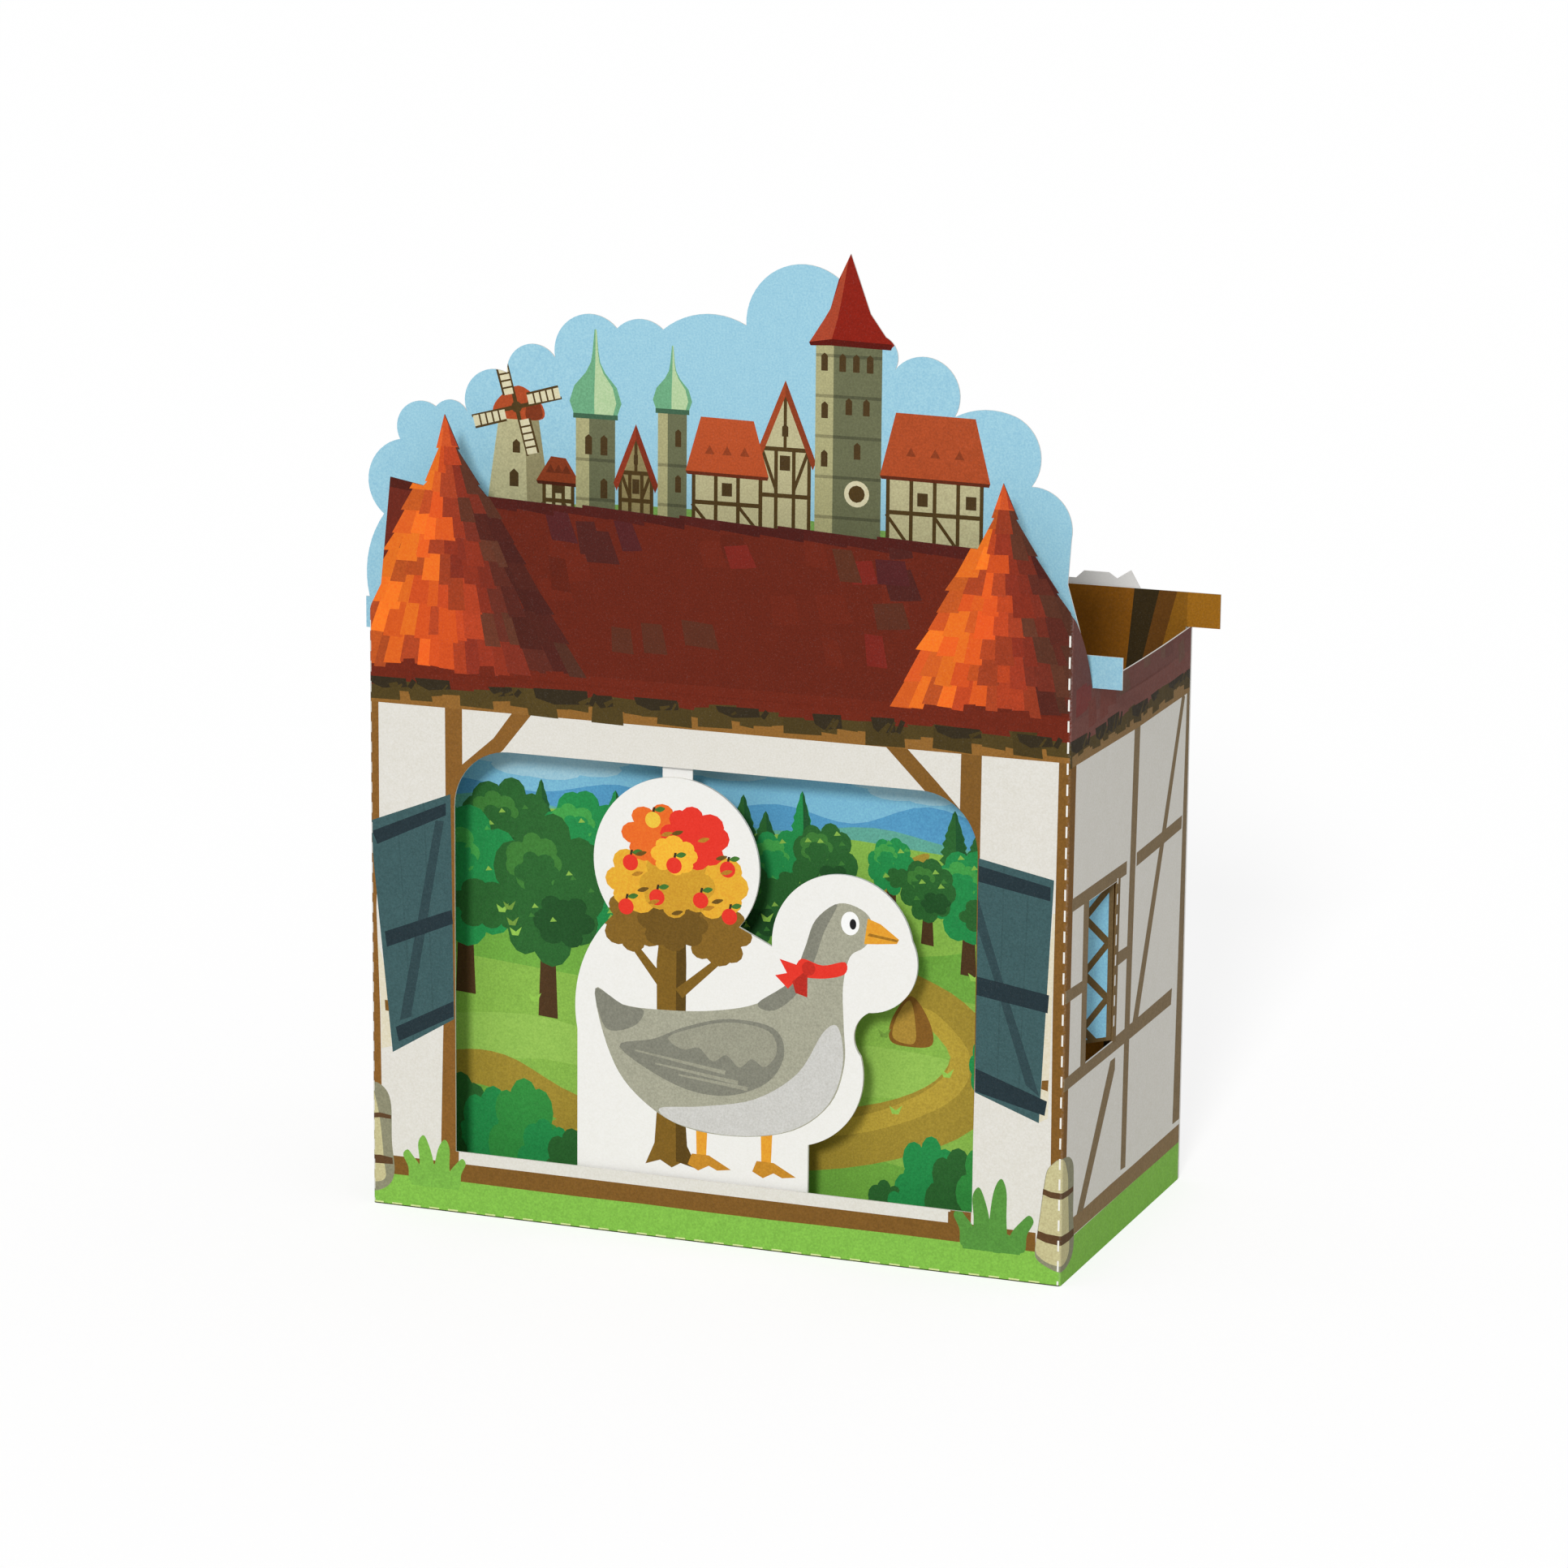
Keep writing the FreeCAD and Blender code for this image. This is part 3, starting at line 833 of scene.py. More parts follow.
def side_art():
    """A side wall, where x is the distance from the front's fold."""
    dice = random.Random(23)
    art = Art(WALL)
    wood = SIDE_TIMBER
    end = SIDE_LENGTH
    art.block(GRASS, -1, -2, end + 2, 7.2)
    ragged_bar(art, SIDE_RAIL, dice, -1, 7.2, end + 2, 10.6, 14, 0.15)
    art.fill(toned(RAIL, 0.97), [(-1, 9), (2, 9), (3.1, 94), (-1, 94)])
    art.fill(wood, [(34.4, 94), (37.8, 94), (36.5, 11.4), (33.6, 11.6)])
    art.fill(wood, [(67.5, 94), (end + 2, 94), (end + 2, 11.5), (65, 11.6)])
    art.fill(wood, [(2.4, 65.9), (32.4, 65.9), (32.4, 68.3), (2.4, 68.2)])
    art.fill(wood, [(38.2, 66), (66, 66.8), (66.2, 69.2), (38.1, 68.5)])
    art.fill(wood, [(0, 50.3), (9.5, 50.2), (9.5, 52.3), (0, 52.6)])
    art.fill(wood, [(28, 50.2), (34.6, 50.3), (34.6, 52.5), (28, 52.7)])
    art.fill(wood, [(0, 34.7), (62.2, 34.9), (62.6, 37.9), (0, 37)])
    art.fill(wood, [(8.8, 36.5), (11.7, 36.5), (11.6, 66.2), (8.7, 66.2)])
    art.fill(HINGE_WOOD, [(27, 36.5), (28.9, 36.5), (29, 66.2), (27, 66.2)])
    art.fill(wood, [(64.4, 92.4), (66.1, 91), (41.8, 37.2), (38.4, 37.2)])
    art.fill(wood, [(26, 33.6), (28.8, 33.6), (28.8, 31.4), (12.4, 10.4), (8.4, 10.4)])
    eave(art, dice, -1, end + 2, 91.4, 93.4, (142, 112, 70), 0.8)
    roof_band(art, dice, -1, end + 2, 95.2, 130, SIDE_ROOF)
    loose_shingles(art, dice, 5, 0, 22, 96, 101, [(122, 56, 50), (116, 62, 52)])
    loose_shingles(art, dice, 6, 20, end - 6, 97, 102, [toned(SIDE_ROOF, 0.94), (108, 76, 62)])
    corner_stone(art, HALF)
    right, low, high = SIDE_WINDOW[1:]
    art.block(DASH, right, high - 0.5, right + 0.6, high + 0.5)
    art.dashes((right + 0.3, high - 3.3 - DASH_PERIOD), (right + 0.3, low - 0.3), PAPER, 0.68)
    return art


def flap_art():
    """A window flap, in the same places as side_art: panes behind a diamond lattice."""
    left, right, low, high = SIDE_WINDOW
    art = Art(GLASS)
    reach = 4 * LATTICE_PITCH
    for k in range(-4, 9):
        z = high - 0.9 - k * 2 * LATTICE_PITCH
        for rise in (-1, 1):
            art.beam(LATTICE, (right - 1, z), (right - 1 - reach, z + rise * reach), 1.25)
    for box in ((left - 1, low, left + 1, high), (left, low - 1, right, low + 1)):
        art.block(LATTICE, *box)
    art.block(toned(HINGE_WOOD, 0.9), right - 1.1, low - 1, right + 1, high + 1)
    return art


def back_art():
    """The back's outside, which no side of the theatre continues: a plain framed wall."""
    dice = random.Random(31)
    art = Art(WALL)
    wood = TIMBER
    art.block(GRASS, -70, -2, 70, 7.2)
    ragged_bar(art, RAIL, dice, -70, 7.2, 70, 10.6, 14, 0.15)
    for x in (-66.2, -34.4, -1.6, 31.2, 63):
        ragged_bar(art, wood, dice, x, 10, x + 3.2, 94)
    for left, right in ((-63, -34.4), (-31.2, -1.6), (1.6, 31.2), (34.4, 63)):
        ragged_bar(art, wood, dice, left, 34.8, right, 37.6)
        ragged_bar(art, wood, dice, left, 66, right, 68.4)
    for start, end in (
        ((-61, 92), (-37, 38)), ((61, 92), (37, 38)), ((-5, 33.5), (-29, 11)), ((5, 33.5), (29, 11)),
    ):
        art.beam(wood, start, end, 3.2)
    for x in (-22, 11):
        art.block(wood, x - 1.8, 40.4, x + 12.8, 63.6)
        art.block(GLASS, x, 42.2, x + 11, 61.8)
        art.block(wood, x + 4.9, 42, x + 6.1, 62)
        art.block(wood, x, 51.4, x + 11, 52.6)
    eave(art, dice, -66, 66, 91.6, 93.6)
    roof_band(art, dice, -66, 66, 95.9, 130)
    loose_shingles(art, dice, 26, -62, 58, 97, 104, [toned(ROOF, 0.9), ROOF_LIGHT, toned(ROOF, 1.1)])
    return art


# Prints of the scene cards and the puppet


WINDOW_SKY = (132, 197, 226)
CLOUD = (168, 212, 229)
FIELD = (146, 194, 82)
FIELD_DARK = (122, 181, 72)
PATH = (172, 147, 56)
LEAF = (42, 150, 80)
LEAF_LIGHT = (74, 170, 80)
LEAF_DARK = (50, 108, 52)
TRUNK = (84, 59, 35)
COPPER = (184, 211, 163)
COPPER_SHADE = (112, 172, 130)
TOWN_WALL = (193, 186, 144)
TOWN_WOOD = (82, 62, 30)
TOWN_WINDOW = (77, 58, 30)
TILES = (178, 78, 40)
SPIRE = (140, 32, 18)
SPIRE_LIT = (172, 70, 44)


def crown(art, dice, colour, centre, across, up, bumps=9, depth=0.14):
    """A leafy crown: a round middle with a ring of round bumps."""
    x, y = centre
    art.oval(colour, centre, across * 0.80, up * 0.80, steps=16)
    size = 0.24 + 1.1 / bumps
    for k in range(bumps):
        a = 2 * math.pi * (k + dice.uniform(-0.18, 0.18)) / bumps
        grow = size * dice.uniform(0.82, 1.15)
        reach = 1 - grow * (1 - depth)
        spot = (x + across * reach * math.cos(a), y + up * reach * math.sin(a))
        art.oval(colour, spot, across * grow, up * grow, steps=12)


def clouds(art, dice, places):
    """Clouds, each given by its middle and how far it reaches across and up."""
    for x, z, across, up in places:
        crown(art, dice, CLOUD, (x, z), across, up, depth=0.12)


def leafy_tree(art, dice, x, foot, top, width, tones):
    """A round tree: its trunk, its crown, and lighter and darker clumps in the crown."""
    main, light, dark = tones
    height = top - foot
    middle, up = top - height * 0.36, height * 0.37
    half = width * 0.05 + 0.45
    art.fill(TRUNK, [
        (x - half * 1.2, foot), (x + half * 1.3, foot - 0.3), (x + half * 0.7, middle),
        (x - half * 0.6, middle),
    ])
    art.fill(TRUNK, [
        (x, foot + height * 0.24), (x + width * 0.24, middle - up * 0.5),
        (x + width * 0.29, middle - up * 0.4), (x + half * 0.5, foot + height * 0.31),
    ])
    crown(art, dice, main, (x, middle), width / 2, up)
    crown(art, dice, dark, (x + width * 0.15, middle - up * 0.40), width * 0.27, up * 0.36, 6)
    crown(art, dice, light, (x - width * 0.13, middle + up * 0.36), width * 0.25, up * 0.38, 7)
    crown(art, dice, main, (x - width * 0.10, middle + up * 0.22), width * 0.20, up * 0.28, 6)
    for k in range(6):
        a, r = dice.uniform(0, 6.28), dice.uniform(0.35, 0.85)
        cx, cy = x + width / 2 * r * math.cos(a), middle + up * r * math.sin(a)
        art.fill(FIELD if k % 2 else light, [(cx, cy), (cx + 1.3, cy + 0.2), (cx + 0.5, cy + 0.9)])


def poplar(art, x, foot, top, width, colour, shade):
    """A tall narrow tree with a ragged flame of leaves, darker on its right."""
    def flame(reach, start, tone):
        rows = 9
        left, right = [], []
        for k in range(rows):
            share = k / rows
            half = width / 2 * math.sin(math.pi * min(1, 0.16 + 0.84 * share) ** 0.8) * reach
            z = between(foot + (top - foot) * 0.13, top, share)
            step = (top - foot) / rows
            left += [(x - half * start, z), (x - half * 0.72 * start, z + step * 0.5)]
            right += [(x + half, z - step * 0.2), (x + half * 0.74, z + step * 0.35)]
        art.fill(tone, left + [(x, top)] + right[::-1])

    art.block(TRUNK, x - width * 0.06 - 0.25, foot, x + width * 0.06 + 0.25, foot + (top - foot) * 0.3)
    flame(1, 1, colour)
    flame(0.92, -0.12, shade)


def bush(art, dice, x, foot, width, height, tones):
    for k, tone in enumerate(tones):
        shift = (k - (len(tones) - 1) / 2) * width * 0.34
        crown(
            art, dice, tone, (x + shift, foot + height * (0.42 - 0.10 * (k % 2))), width * 0.36,
            height * 0.55, 8,
        )


def window(art, x, z, across, up, arched=False):
    points = [
        (x - across / 2, z), (x + across / 2, z), (x + across / 2, z + up), (x - across / 2, z + up),
    ]
    if arched:
        points = points[:3] + [(x, z + up + across * 0.45)] + points[3:]
    art.fill(TOWN_WINDOW, points)


def gabled_house(art, left, right, foot, eaves, peak, roof, wall=TOWN_WALL):
    """A timbered house that turns its gable to the front."""
    middle, width = (left + right) / 2, right - left
    art.fill(wall, [(left, foot), (right, foot), (right, eaves), (middle, peak - 0.6), (left, eaves)])
    for z in (eaves - 0.1, between(foot, eaves, 0.46)):
        art.block(TOWN_WOOD, left, z, right, z + 0.75)
    for x in (left + 0.35, middle - width * 0.17, middle + width * 0.17, right - 0.35):
        art.block(TOWN_WOOD, x - 0.33, foot, x + 0.33, eaves)
    art.beam(TOWN_WOOD, (left + 0.6, eaves), (middle - width * 0.17, between(foot, eaves, 0.55)), 0.6)
    art.beam(TOWN_WOOD, (right - 0.6, eaves), (middle + width * 0.17, between(foot, eaves, 0.55)), 0.6)
    art.beam(TOWN_WOOD, (middle, eaves + 0.4), (middle, peak - 1), 0.6)
    window(art, middle, eaves - 3.4, width * 0.2, 2.6)
    window(art, middle, between(eaves, peak, 0.22), width * 0.12, 1.7, True)
    over = 0.9
    slope = (peak - eaves) / (width / 2)
    for side in (-1, 1):
        end = middle + side * (width / 2 + over)
        low = eaves - over * slope
        art.fill(toned(roof, 1.0 if side < 0 else 0.86), [
            (middle, peak + 0.9), (end, low + 0.5), (end - side * 0.6, low - 0.9), (middle, peak - 1.9),
        ])


def long_house(art, left, right, foot, eaves, ridge, roof):
    """A timbered house with its long side to the front."""
    art.block(TOWN_WALL, left, foot, right, eaves)
    posts = max(3, round((right - left) / 4.2))
    for k in range(posts + 1):
        x = between(left + 0.3, right - 0.3, k / posts)
        art.block(TOWN_WOOD, x - 0.34, foot, x + 0.34, eaves)
    middle = between(foot, eaves, 0.45)
    art.block(TOWN_WOOD, left, middle, right, middle + 0.75)
    for k in range(0, posts, 2):
        x0, x1 = (between(left, right, (k + i) / posts) for i in (0, 1))
        art.beam(TOWN_WOOD, (x0, middle), (x1, foot), 0.6)
    for k in range(1, posts, 2):
        x = between(left, right, (k + 0.5) / posts)
        window(art, x, middle + 1.7, 1.9, 2.3)
    art.fill(roof, [
        (left - 1.2, eaves - 0.2), (right + 1.2, eaves - 0.4), (right - 1.6, ridge),
        (left + 1.6, ridge + 0.2),
    ])
    art.fill(toned(roof, 0.55), [
        (left - 1.2, eaves - 0.2), (right + 1.2, eaves - 0.4), (right + 1, eaves - 1),
        (left - 0.9, eaves - 0.8),
    ])
    for k in range(3):
        x = between(left, right, 0.25 + 0.25 * k)
        z = between(eaves, ridge, 0.32)
        art.fill(toned(roof, 0.8), [(x - 0.9, z), (x + 0.9, z), (x, z + 1.6)])


def stone_tower(art, left, right, foot, top, lit=0.28):
    """A tower seen on its edge, with a lit face and a face in the shade."""
    edge = between(left, right, lit)
    art.block((108, 111, 81), left, foot, right, top)
    art.block((176, 172, 126), left, foot, edge, top)
    for z in np.arange(foot + 4, top - 3, 7):
        art.block((86, 88, 64), edge, z, right, z + 0.55)
        art.block((142, 138, 100), left, z, edge, z + 0.55)


def onion_dome(art, x, foot, top, half):
    """A copper dome that swells and then draws in to a thin finial."""
    rise = top - foot
    profile = [(1, 0), (1.22, 0.16), (1, 0.34), (0.46, 0.50), (0.22, 0.62), (0.14, 0.74), (0.05, 1)]
    left = [(x - half * r, foot + rise * h) for r, h in profile]
    right = [(x + half * r, foot + rise * h) for r, h in profile]
    art.fill(COPPER_SHADE, left + right[::-1])
    art.fill(COPPER, [(x - half * r * 0.05, foot + rise * h) for r, h in profile]
             + [(x + half * r * 0.80, foot + rise * h) for r, h in profile][::-1])
    art.block(toned(COPPER_SHADE, 0.6), x - half * 1.05, foot - 0.5, x + half * 1.05, foot + 0.35)


def windmill(art, x, foot, cap, half):
    """A windmill: a tapered tower, and four sails about its cap."""
    art.fill((188, 182, 140), [
        (x - half * 1.35, foot), (x + half * 1.35, foot), (x + half * 0.8, cap), (x - half * 0.8, cap),
    ])
    art.fill((150, 142, 104), [
        (x + half * 0.35, foot), (x + half * 1.35, foot), (x + half * 0.8, cap), (x + half * 0.25, cap),
    ])
    window(art, x - half * 0.2, foot + 4.6, 1.7, 2.4, True)
    window(art, x - half * 0.1, foot + 10.6, 1.4, 1.8, True)
    art.soft(TILES, [
        (x - half * 1, cap - 0.6), (x - half * 0.9, cap + 2.2), (x, cap + 5),
        (x + half * 0.9, cap + 2.2), (x + half * 1, cap - 0.6), (x, cap - 1),
    ])
    art.soft(toned(TILES, 0.72), [
        (x + half * 0.3, cap - 0.6), (x + half * 0.45, cap + 3.4), (x + half * 0.85, cap + 2.2),
        (x + half * 0.95, cap - 0.5),
    ])
    hub = (x - 0.4, cap + 1.2)
    centre = Vector(hub)
    for turn in range(14, 374, 90):
        a = math.radians(turn)
        along, out = Vector((math.cos(a), math.sin(a))), Vector((-math.sin(a), math.cos(a)))
        art.beam(TOWN_WOOD, centre, centre + along * 8.8, 0.8, 0.5)
        near, far = centre + along * 2.4, centre + along * 8.6
        corners = [near, far, far + out * 2.1, near + out * 1.9]
        art.fill((222, 214, 178), corners)
        for k in range(1, 5):
            a0 = centre + along * (2.4 + 6.2 * k / 5)
            art.beam(TOWN_WOOD, a0, a0 + out * 2, 0.32)
        art.beam(TOWN_WOOD, corners[3], corners[2], 0.4)
    art.oval(TOWN_WOOD, hub, 1)


SPIRE_X = 20.5
SPIRE_TOP = 174.9
SPIRE_EAVES = 161.0


def spire(art):
    """The red spire, which follows the card's own outline on its right."""
    waist, reach, apex = 164.8, 6.5, SPIRE_X
    left = [
        (apex - reach - 0.9, SPIRE_EAVES - 1.6), (apex - 4.6, 163.7), (apex - 3.6, waist + 0.6),
        (apex, SPIRE_TOP + 3),
    ]
    right = [(apex + 8, SPIRE_TOP), (apex + 12, waist), (apex + 8.3, 159.9), (apex + reach + 0.9, 159)]
    art.fill(SPIRE, left + right)
    art.fill(SPIRE_LIT, [
        (apex - reach - 0.9, SPIRE_EAVES - 1.6), (apex - 4.6, 163.7), (apex - 3.6, waist + 0.6),
        (apex - 0.1, SPIRE_TOP + 1), (apex - 1.6, 167), (apex - 2.3, 163.6), (apex - 3.4, 159.9),
    ])
    art.fill(toned(SPIRE, 0.66), [
        (apex - reach - 1, SPIRE_EAVES - 1.6), (apex - 3.4, 160.1), (apex + reach + 1.2, 159.8),
        (apex + reach + 1, 158.8), (apex - 3.4, 159), (apex - reach - 0.7, SPIRE_EAVES - 2.2),
    ])


def ridge(art, colour, tops, foot):
    """A hill: a smooth skyline through the points of tops, down to the level foot."""
    left, right = tops[0][0] - 8, tops[-1][0] + 8
    art.soft(colour, [(left, foot), *tops, (right, foot), ((left + right) / 2, foot - 2)], 6)


def town_hill(art, dice):
    """The hill that carries the town, with cloud round its foot."""
    bands = [(0, (112, 178, 196)), (10, (108, 168, 146)), (19, (114, 166, 104)), (27, (124, 170, 86))]
    for rise, colour in bands:
        drop = rise * 0.20
        ridge(art, colour, [
            (-58 + drop, 98 + rise * 0.6), (-48 + drop, 108 + rise * 0.6), (-30, 112 + rise * 0.6),
            (0, 112 + rise * 0.62), (30, 111 + rise * 0.6), (48 - drop, 107 + rise * 0.6),
            (58 - drop, 97 + rise * 0.6),
        ], 78)
    for x in range(-44, 52, 7):
        top = 119 + dice.uniform(-3, 4)
        poplar(art, x + dice.uniform(-2, 2), top - 13, top, 4.4, (86, 144, 78), (66, 118, 66))
    clouds(art, dice, [
        (-60, 92, 17, 7), (-37, 94, 19, 7), (-12, 92, 20, 8), (15, 94, 20, 7), (40, 92, 19, 8),
        (62, 93, 15, 7),
    ])
    art.block(WINDOW_SKY, -72, -2, 72, 90)


TOWN_FOOT = 125


def town(art):
    """The town on the hill, with what stands behind laid first."""
    art.block((124, 168, 84), -52, 122, 50, 127.6)
    windmill(art, -41, 126, 143.5, 4.6)
    long_house(art, -36.5, -30.5, TOWN_FOOT, 132.2, 136.2, toned(TILES, 0.78))
    stone_tower(art, -30.2, -22.8, TOWN_FOOT, 143.6, 0.34)
    onion_dome(art, -26.5, 144, 159.2, 4)
    for x, z in ((-27.8, 137.2), (-24.9, 137.2), (-24.9, 129.6)):
        window(art, x, z, 1.3, 3, True)
    gabled_house(art, -22.2, -15.6, TOWN_FOOT, 134.2, 142.2, (150, 58, 34), (150, 136, 92))
    stone_tower(art, -14.8, -9.4, TOWN_FOOT, 145.4, 0.34)
    onion_dome(art, -12.1, 145.8, 157.2, 3)
    for z in (139.6, 131.6):
        window(art, -11, z, 1.1, 2.6, True)
    gabled_house(art, 4, 13.6, TOWN_FOOT, 140.2, 151.6, toned(TILES, 0.92))
    long_house(art, -8.4, 4.6, TOWN_FOOT, 135.8, 145, toned(TILES, 1.06))
    stone_tower(art, 14.3, 26.4, TOWN_FOOT, 160.4, 0.27)
    for x in (15.9, 19.2, 21.7, 24.2):
        window(art, x, 154.6, 1.2, 2.6, True)
    for x, z in ((16, 146.4), (20.4, 147.2), (23.6, 147.2), (22, 139.6), (16, 138)):
        window(art, x, z, 1.2, 2.4, True)
    art.oval((222, 214, 178), (22, 133.6), 2.3)
    art.oval(TOWN_WOOD, (22, 133.6), 1.5, steps=12)
    spire(art)
    long_house(art, 27.4, 45, TOWN_FOOT, 137.4, 148, TILES)


def country(art, dice):
    """What shows in the stage window: fields, a winding path, and trees."""
    greens = (LEAF, LEAF_LIGHT, LEAF_DARK)
    darks = (LEAF_DARK, (70, 134, 60), (40, 88, 44))
    art.soft((92, 164, 208), [
        (-66, 70), (-58, 77.4), (-38, 76), (-22, 78.6), (-8, 75.4), (8, 77.8), (22, 75.6), (36, 79.8),
        (52, 76), (66, 78), (70, 66), (0, 64),
    ])
    art.soft((104, 178, 160), [
        (-66, 68), (-50, 74.8), (-30, 73.4), (-12, 75.6), (6, 73), (26, 75.2), (44, 72.8), (66, 75),
        (70, 62), (0, 62),
    ])
    art.block(FIELD, -70, -2, 70, 70)
    art.soft(FIELD, [
        (-68, 66), (-40, 73), (-10, 71.6), (18, 72.8), (44, 71.4), (68, 73), (70, 60), (0, 55),
        (-70, 60),
    ])
    art.soft(FIELD_DARK, [
        (-70, 48), (-48, 56), (-22, 52), (4, 57), (32, 52.6), (70, 60), (72, 44), (36, 46), (0, 42),
        (-40, 44),
    ])
    art.soft((158, 203, 92), [
        (-70, 30), (-40, 35), (-8, 30), (26, 36), (70, 30), (70, 22), (30, 27), (0, 22), (-36, 27),
        (-70, 22),
    ])
    art.soft(FIELD_DARK, [
        (-72, 16), (-44, 21), (-20, 15), (10, 18), (40, 14), (72, 19), (74, -4), (0, -6), (-74, -4),
    ])
    path = [
        (-52, -4), (-41, 10), (-30, 18), (-8, 22), (20, 24), (36, 29.6), (40.6, 37), (33, 44), (22, 50),
        (17.6, 56), (22, 62), (33, 70.5), (36, 70.5), (27.6, 61.6), (24.6, 56.6), (30, 51.6),
        (43, 45.6), (50.5, 36), (45, 23), (26, 14.4), (0, 9.6), (-16, 6), (-23, -4),
    ]
    art.soft(PATH, path)
    art.soft(PATH, [
        (-72, 20), (-56, 26.4), (-44, 27), (-30, 21), (-14, 19), (-14, 13), (-32, 15.6), (-46, 20.6),
        (-58, 20), (-72, 13),
    ])
    art.soft(toned(PATH, 1.12), [
        (-40, -4), (-33, 8), (-24, 14.6), (-2, 17.4), (22, 19.4), (40, 27), (44.4, 35.6), (38, 43),
        (34, 43), (40.6, 35.6), (35.6, 28.6), (20, 22), (-4, 20), (-26, 16.6), (-37, 9), (-45, -4),
    ])
    for x, foot, top in (
        (-63, 66, 77), (-57.5, 65, 79.4), (-36.8, 64, 78.4), (-22.6, 63, 77.6), (-15.4, 64, 79.4),
        (1.6, 63, 79), (5.8, 63.6, 76.4), (12.6, 64, 80.6), (40.8, 64, 79.6), (45.4, 65, 76.8),
        (57, 66, 78.6),
    ):
        poplar(
            art, x, foot, top, 5.0 + dice.uniform(-0.5, 0.9), dice.choice([LEAF, LEAF_DARK]),
            (38, 92, 50),
        )
    for x, foot, top, width, tones in (
        (-60, 47, 74, 19, greens), (-43.5, 51, 77.6, 18, darks), (-28.6, 53, 76.4, 16.5, greens),
        (8.6, 54, 73, 13, greens), (16.8, 56, 75, 12, darks), (58, 50, 74, 19, greens),
        (29.2, 60, 73.6, 8.6, greens), (-11, 52, 74, 15, greens), (-51.6, 38, 71.6, 22, greens),
        (-20.6, 39, 68.6, 19, greens), (-35.6, 35, 71.4, 21, darks), (43.6, 50.6, 72.4, 14.5, greens),
        (36, 55.4, 70.4, 10, darks), (3.4, 47, 66, 13, darks), (-6, 44, 66, 15, greens),
    ):
        leafy_tree(art, dice, x, foot, top, width, tones)
    art.soft((142, 98, 40), [
        (29.4, 37.4), (29.8, 41.6), (33.2, 45.8), (36.6, 41.6), (37.2, 37.4), (33.2, 36.6),
    ])
    art.soft((186, 148, 62), [(30, 37.9), (30.5, 41.6), (32.9, 45), (34, 41.2), (33.8, 37.3)])
    for x, foot, width, height, tones in (
        (-46.6, 3, 19, 20, (LEAF_DARK, LEAF, (58, 152, 70))), (-33.4, 3, 15, 13, (LEAF, LEAF_DARK)),
        (-60, 2, 16, 16, (LEAF, LEAF_DARK)), (42.6, 4, 17, 17, (LEAF, LEAF_DARK, (58, 152, 70))),
        (30.6, 3, 10, 9, (LEAF_DARK, LEAF)), (58, 2, 16, 18, (LEAF_DARK, LEAF)),
        (48.4, 30, 8, 10, (LEAF, LEAF_DARK)),
    ):
        bush(art, dice, x, foot, width, height, tones)
    for _ in range(26):
        x, z = dice.uniform(-62, 62), dice.uniform(24, 60)
        art.fill(toned(FIELD, dice.choice([0.86, 1.08])), [
            (x, z), (x + 1.2, z), (x + 1.9, z + 1.7), (x + 0.7, z + 0.7), (x - 0.5, z + 1.4),
        ])


def sky_art():
    dice = random.Random(41)
    art = Art(SKY)
    town_hill(art, dice)
    clouds(art, dice, [(-36, 83, 16, 4.4), (-2, 86, 20, 4.6), (34, 84, 13, 3.8), (60, 86, 12, 5)])
    town(art)
    country(art, dice)
    return art


INNER = (134, 83, 15)
INNER_LIGHT = (158, 105, 24)
INNER_SHADE = (102, 64, 20)
INNER_DARK = (55, 43, 20)


def interior_art():
    """A barn's inside: boards, a loft, slanting roof timbers and straw."""
    dice = random.Random(43)
    art = Art(INNER)
    x = -74.0
    while x < 74:
        width = dice.uniform(7, 11)
        art.block(toned(INNER, dice.uniform(0.90, 1.12)), x, -2, x + width, 88)
        art.block(INNER_SHADE, x + width - 0.45, -2, x + width, 88)
        for _ in range(3):
            z = dice.uniform(4, 84)
            art.soft(toned(INNER, 0.8), [
                (x + 1.6, z), (x + 2.6, z + 2.6), (x + 3.4, z), (x + 2.6, z - 2),
            ])
        x += width
    for side in (-1, 1):
        def mirrored(points):
            return [(side * px, pz) for px, pz in points]

        art.fill(INNER_LIGHT, mirrored([(64.4, 112), (80, 112), (80, 60), (62, 60)]))
        art.fill(
            toned(INNER_LIGHT, 0.88),
            mirrored([(62.8, 112), (64.4, 112), (64.2, 98), (60, 60), (52, 60), (59.4, 98)]),
        )
        art.fill(
            INNER_SHADE,
            mirrored([(59.6, 112), (63, 112), (60, 100.3), (50.4, 62), (46, 62), (56.3, 97.5)]),
        )
        art.fill(
            INNER_DARK,
            mirrored([(54.6, 112), (59.6, 112), (56.3, 97.5), (48, 62), (44, 62), (53.1, 95)]),
        )
        art.beam(INNER_SHADE, (side * 26, 112), (side * 16, 62), 4.2)
        art.beam(INNER_DARK, (side * 29.4, 112), (side * 19.4, 62), 2)
    art.block(INNER_LIGHT, -74, 60, 74, 65)
    art.block(INNER_DARK, -74, 57.6, 74, 60)
    for x in (-50, -18, 14, 46):
        art.block(INNER_LIGHT, x, -2, x + 4.4, 60)
        art.block(INNER_DARK, x + 4.4, -2, x + 5.6, 60)
    art.block(INNER_DARK, -9, 24, 9, 46)
    art.block(GLASS, -7.4, 25.6, 7.4, 44.4)
    art.block(INNER_LIGHT, -0.8, 25, 0.8, 45)
    art.block(INNER_LIGHT, -8, 34.2, 8, 35.8)
    for _ in range(90):
        x, z = dice.uniform(-64, 64), dice.uniform(0, 12)
        a = dice.uniform(0, 3.14)
        art.beam((206, 164, 70), (x, z), (x + 5 * math.cos(a), z + 3 * math.sin(a)), 0.7, 0.3)
    return art


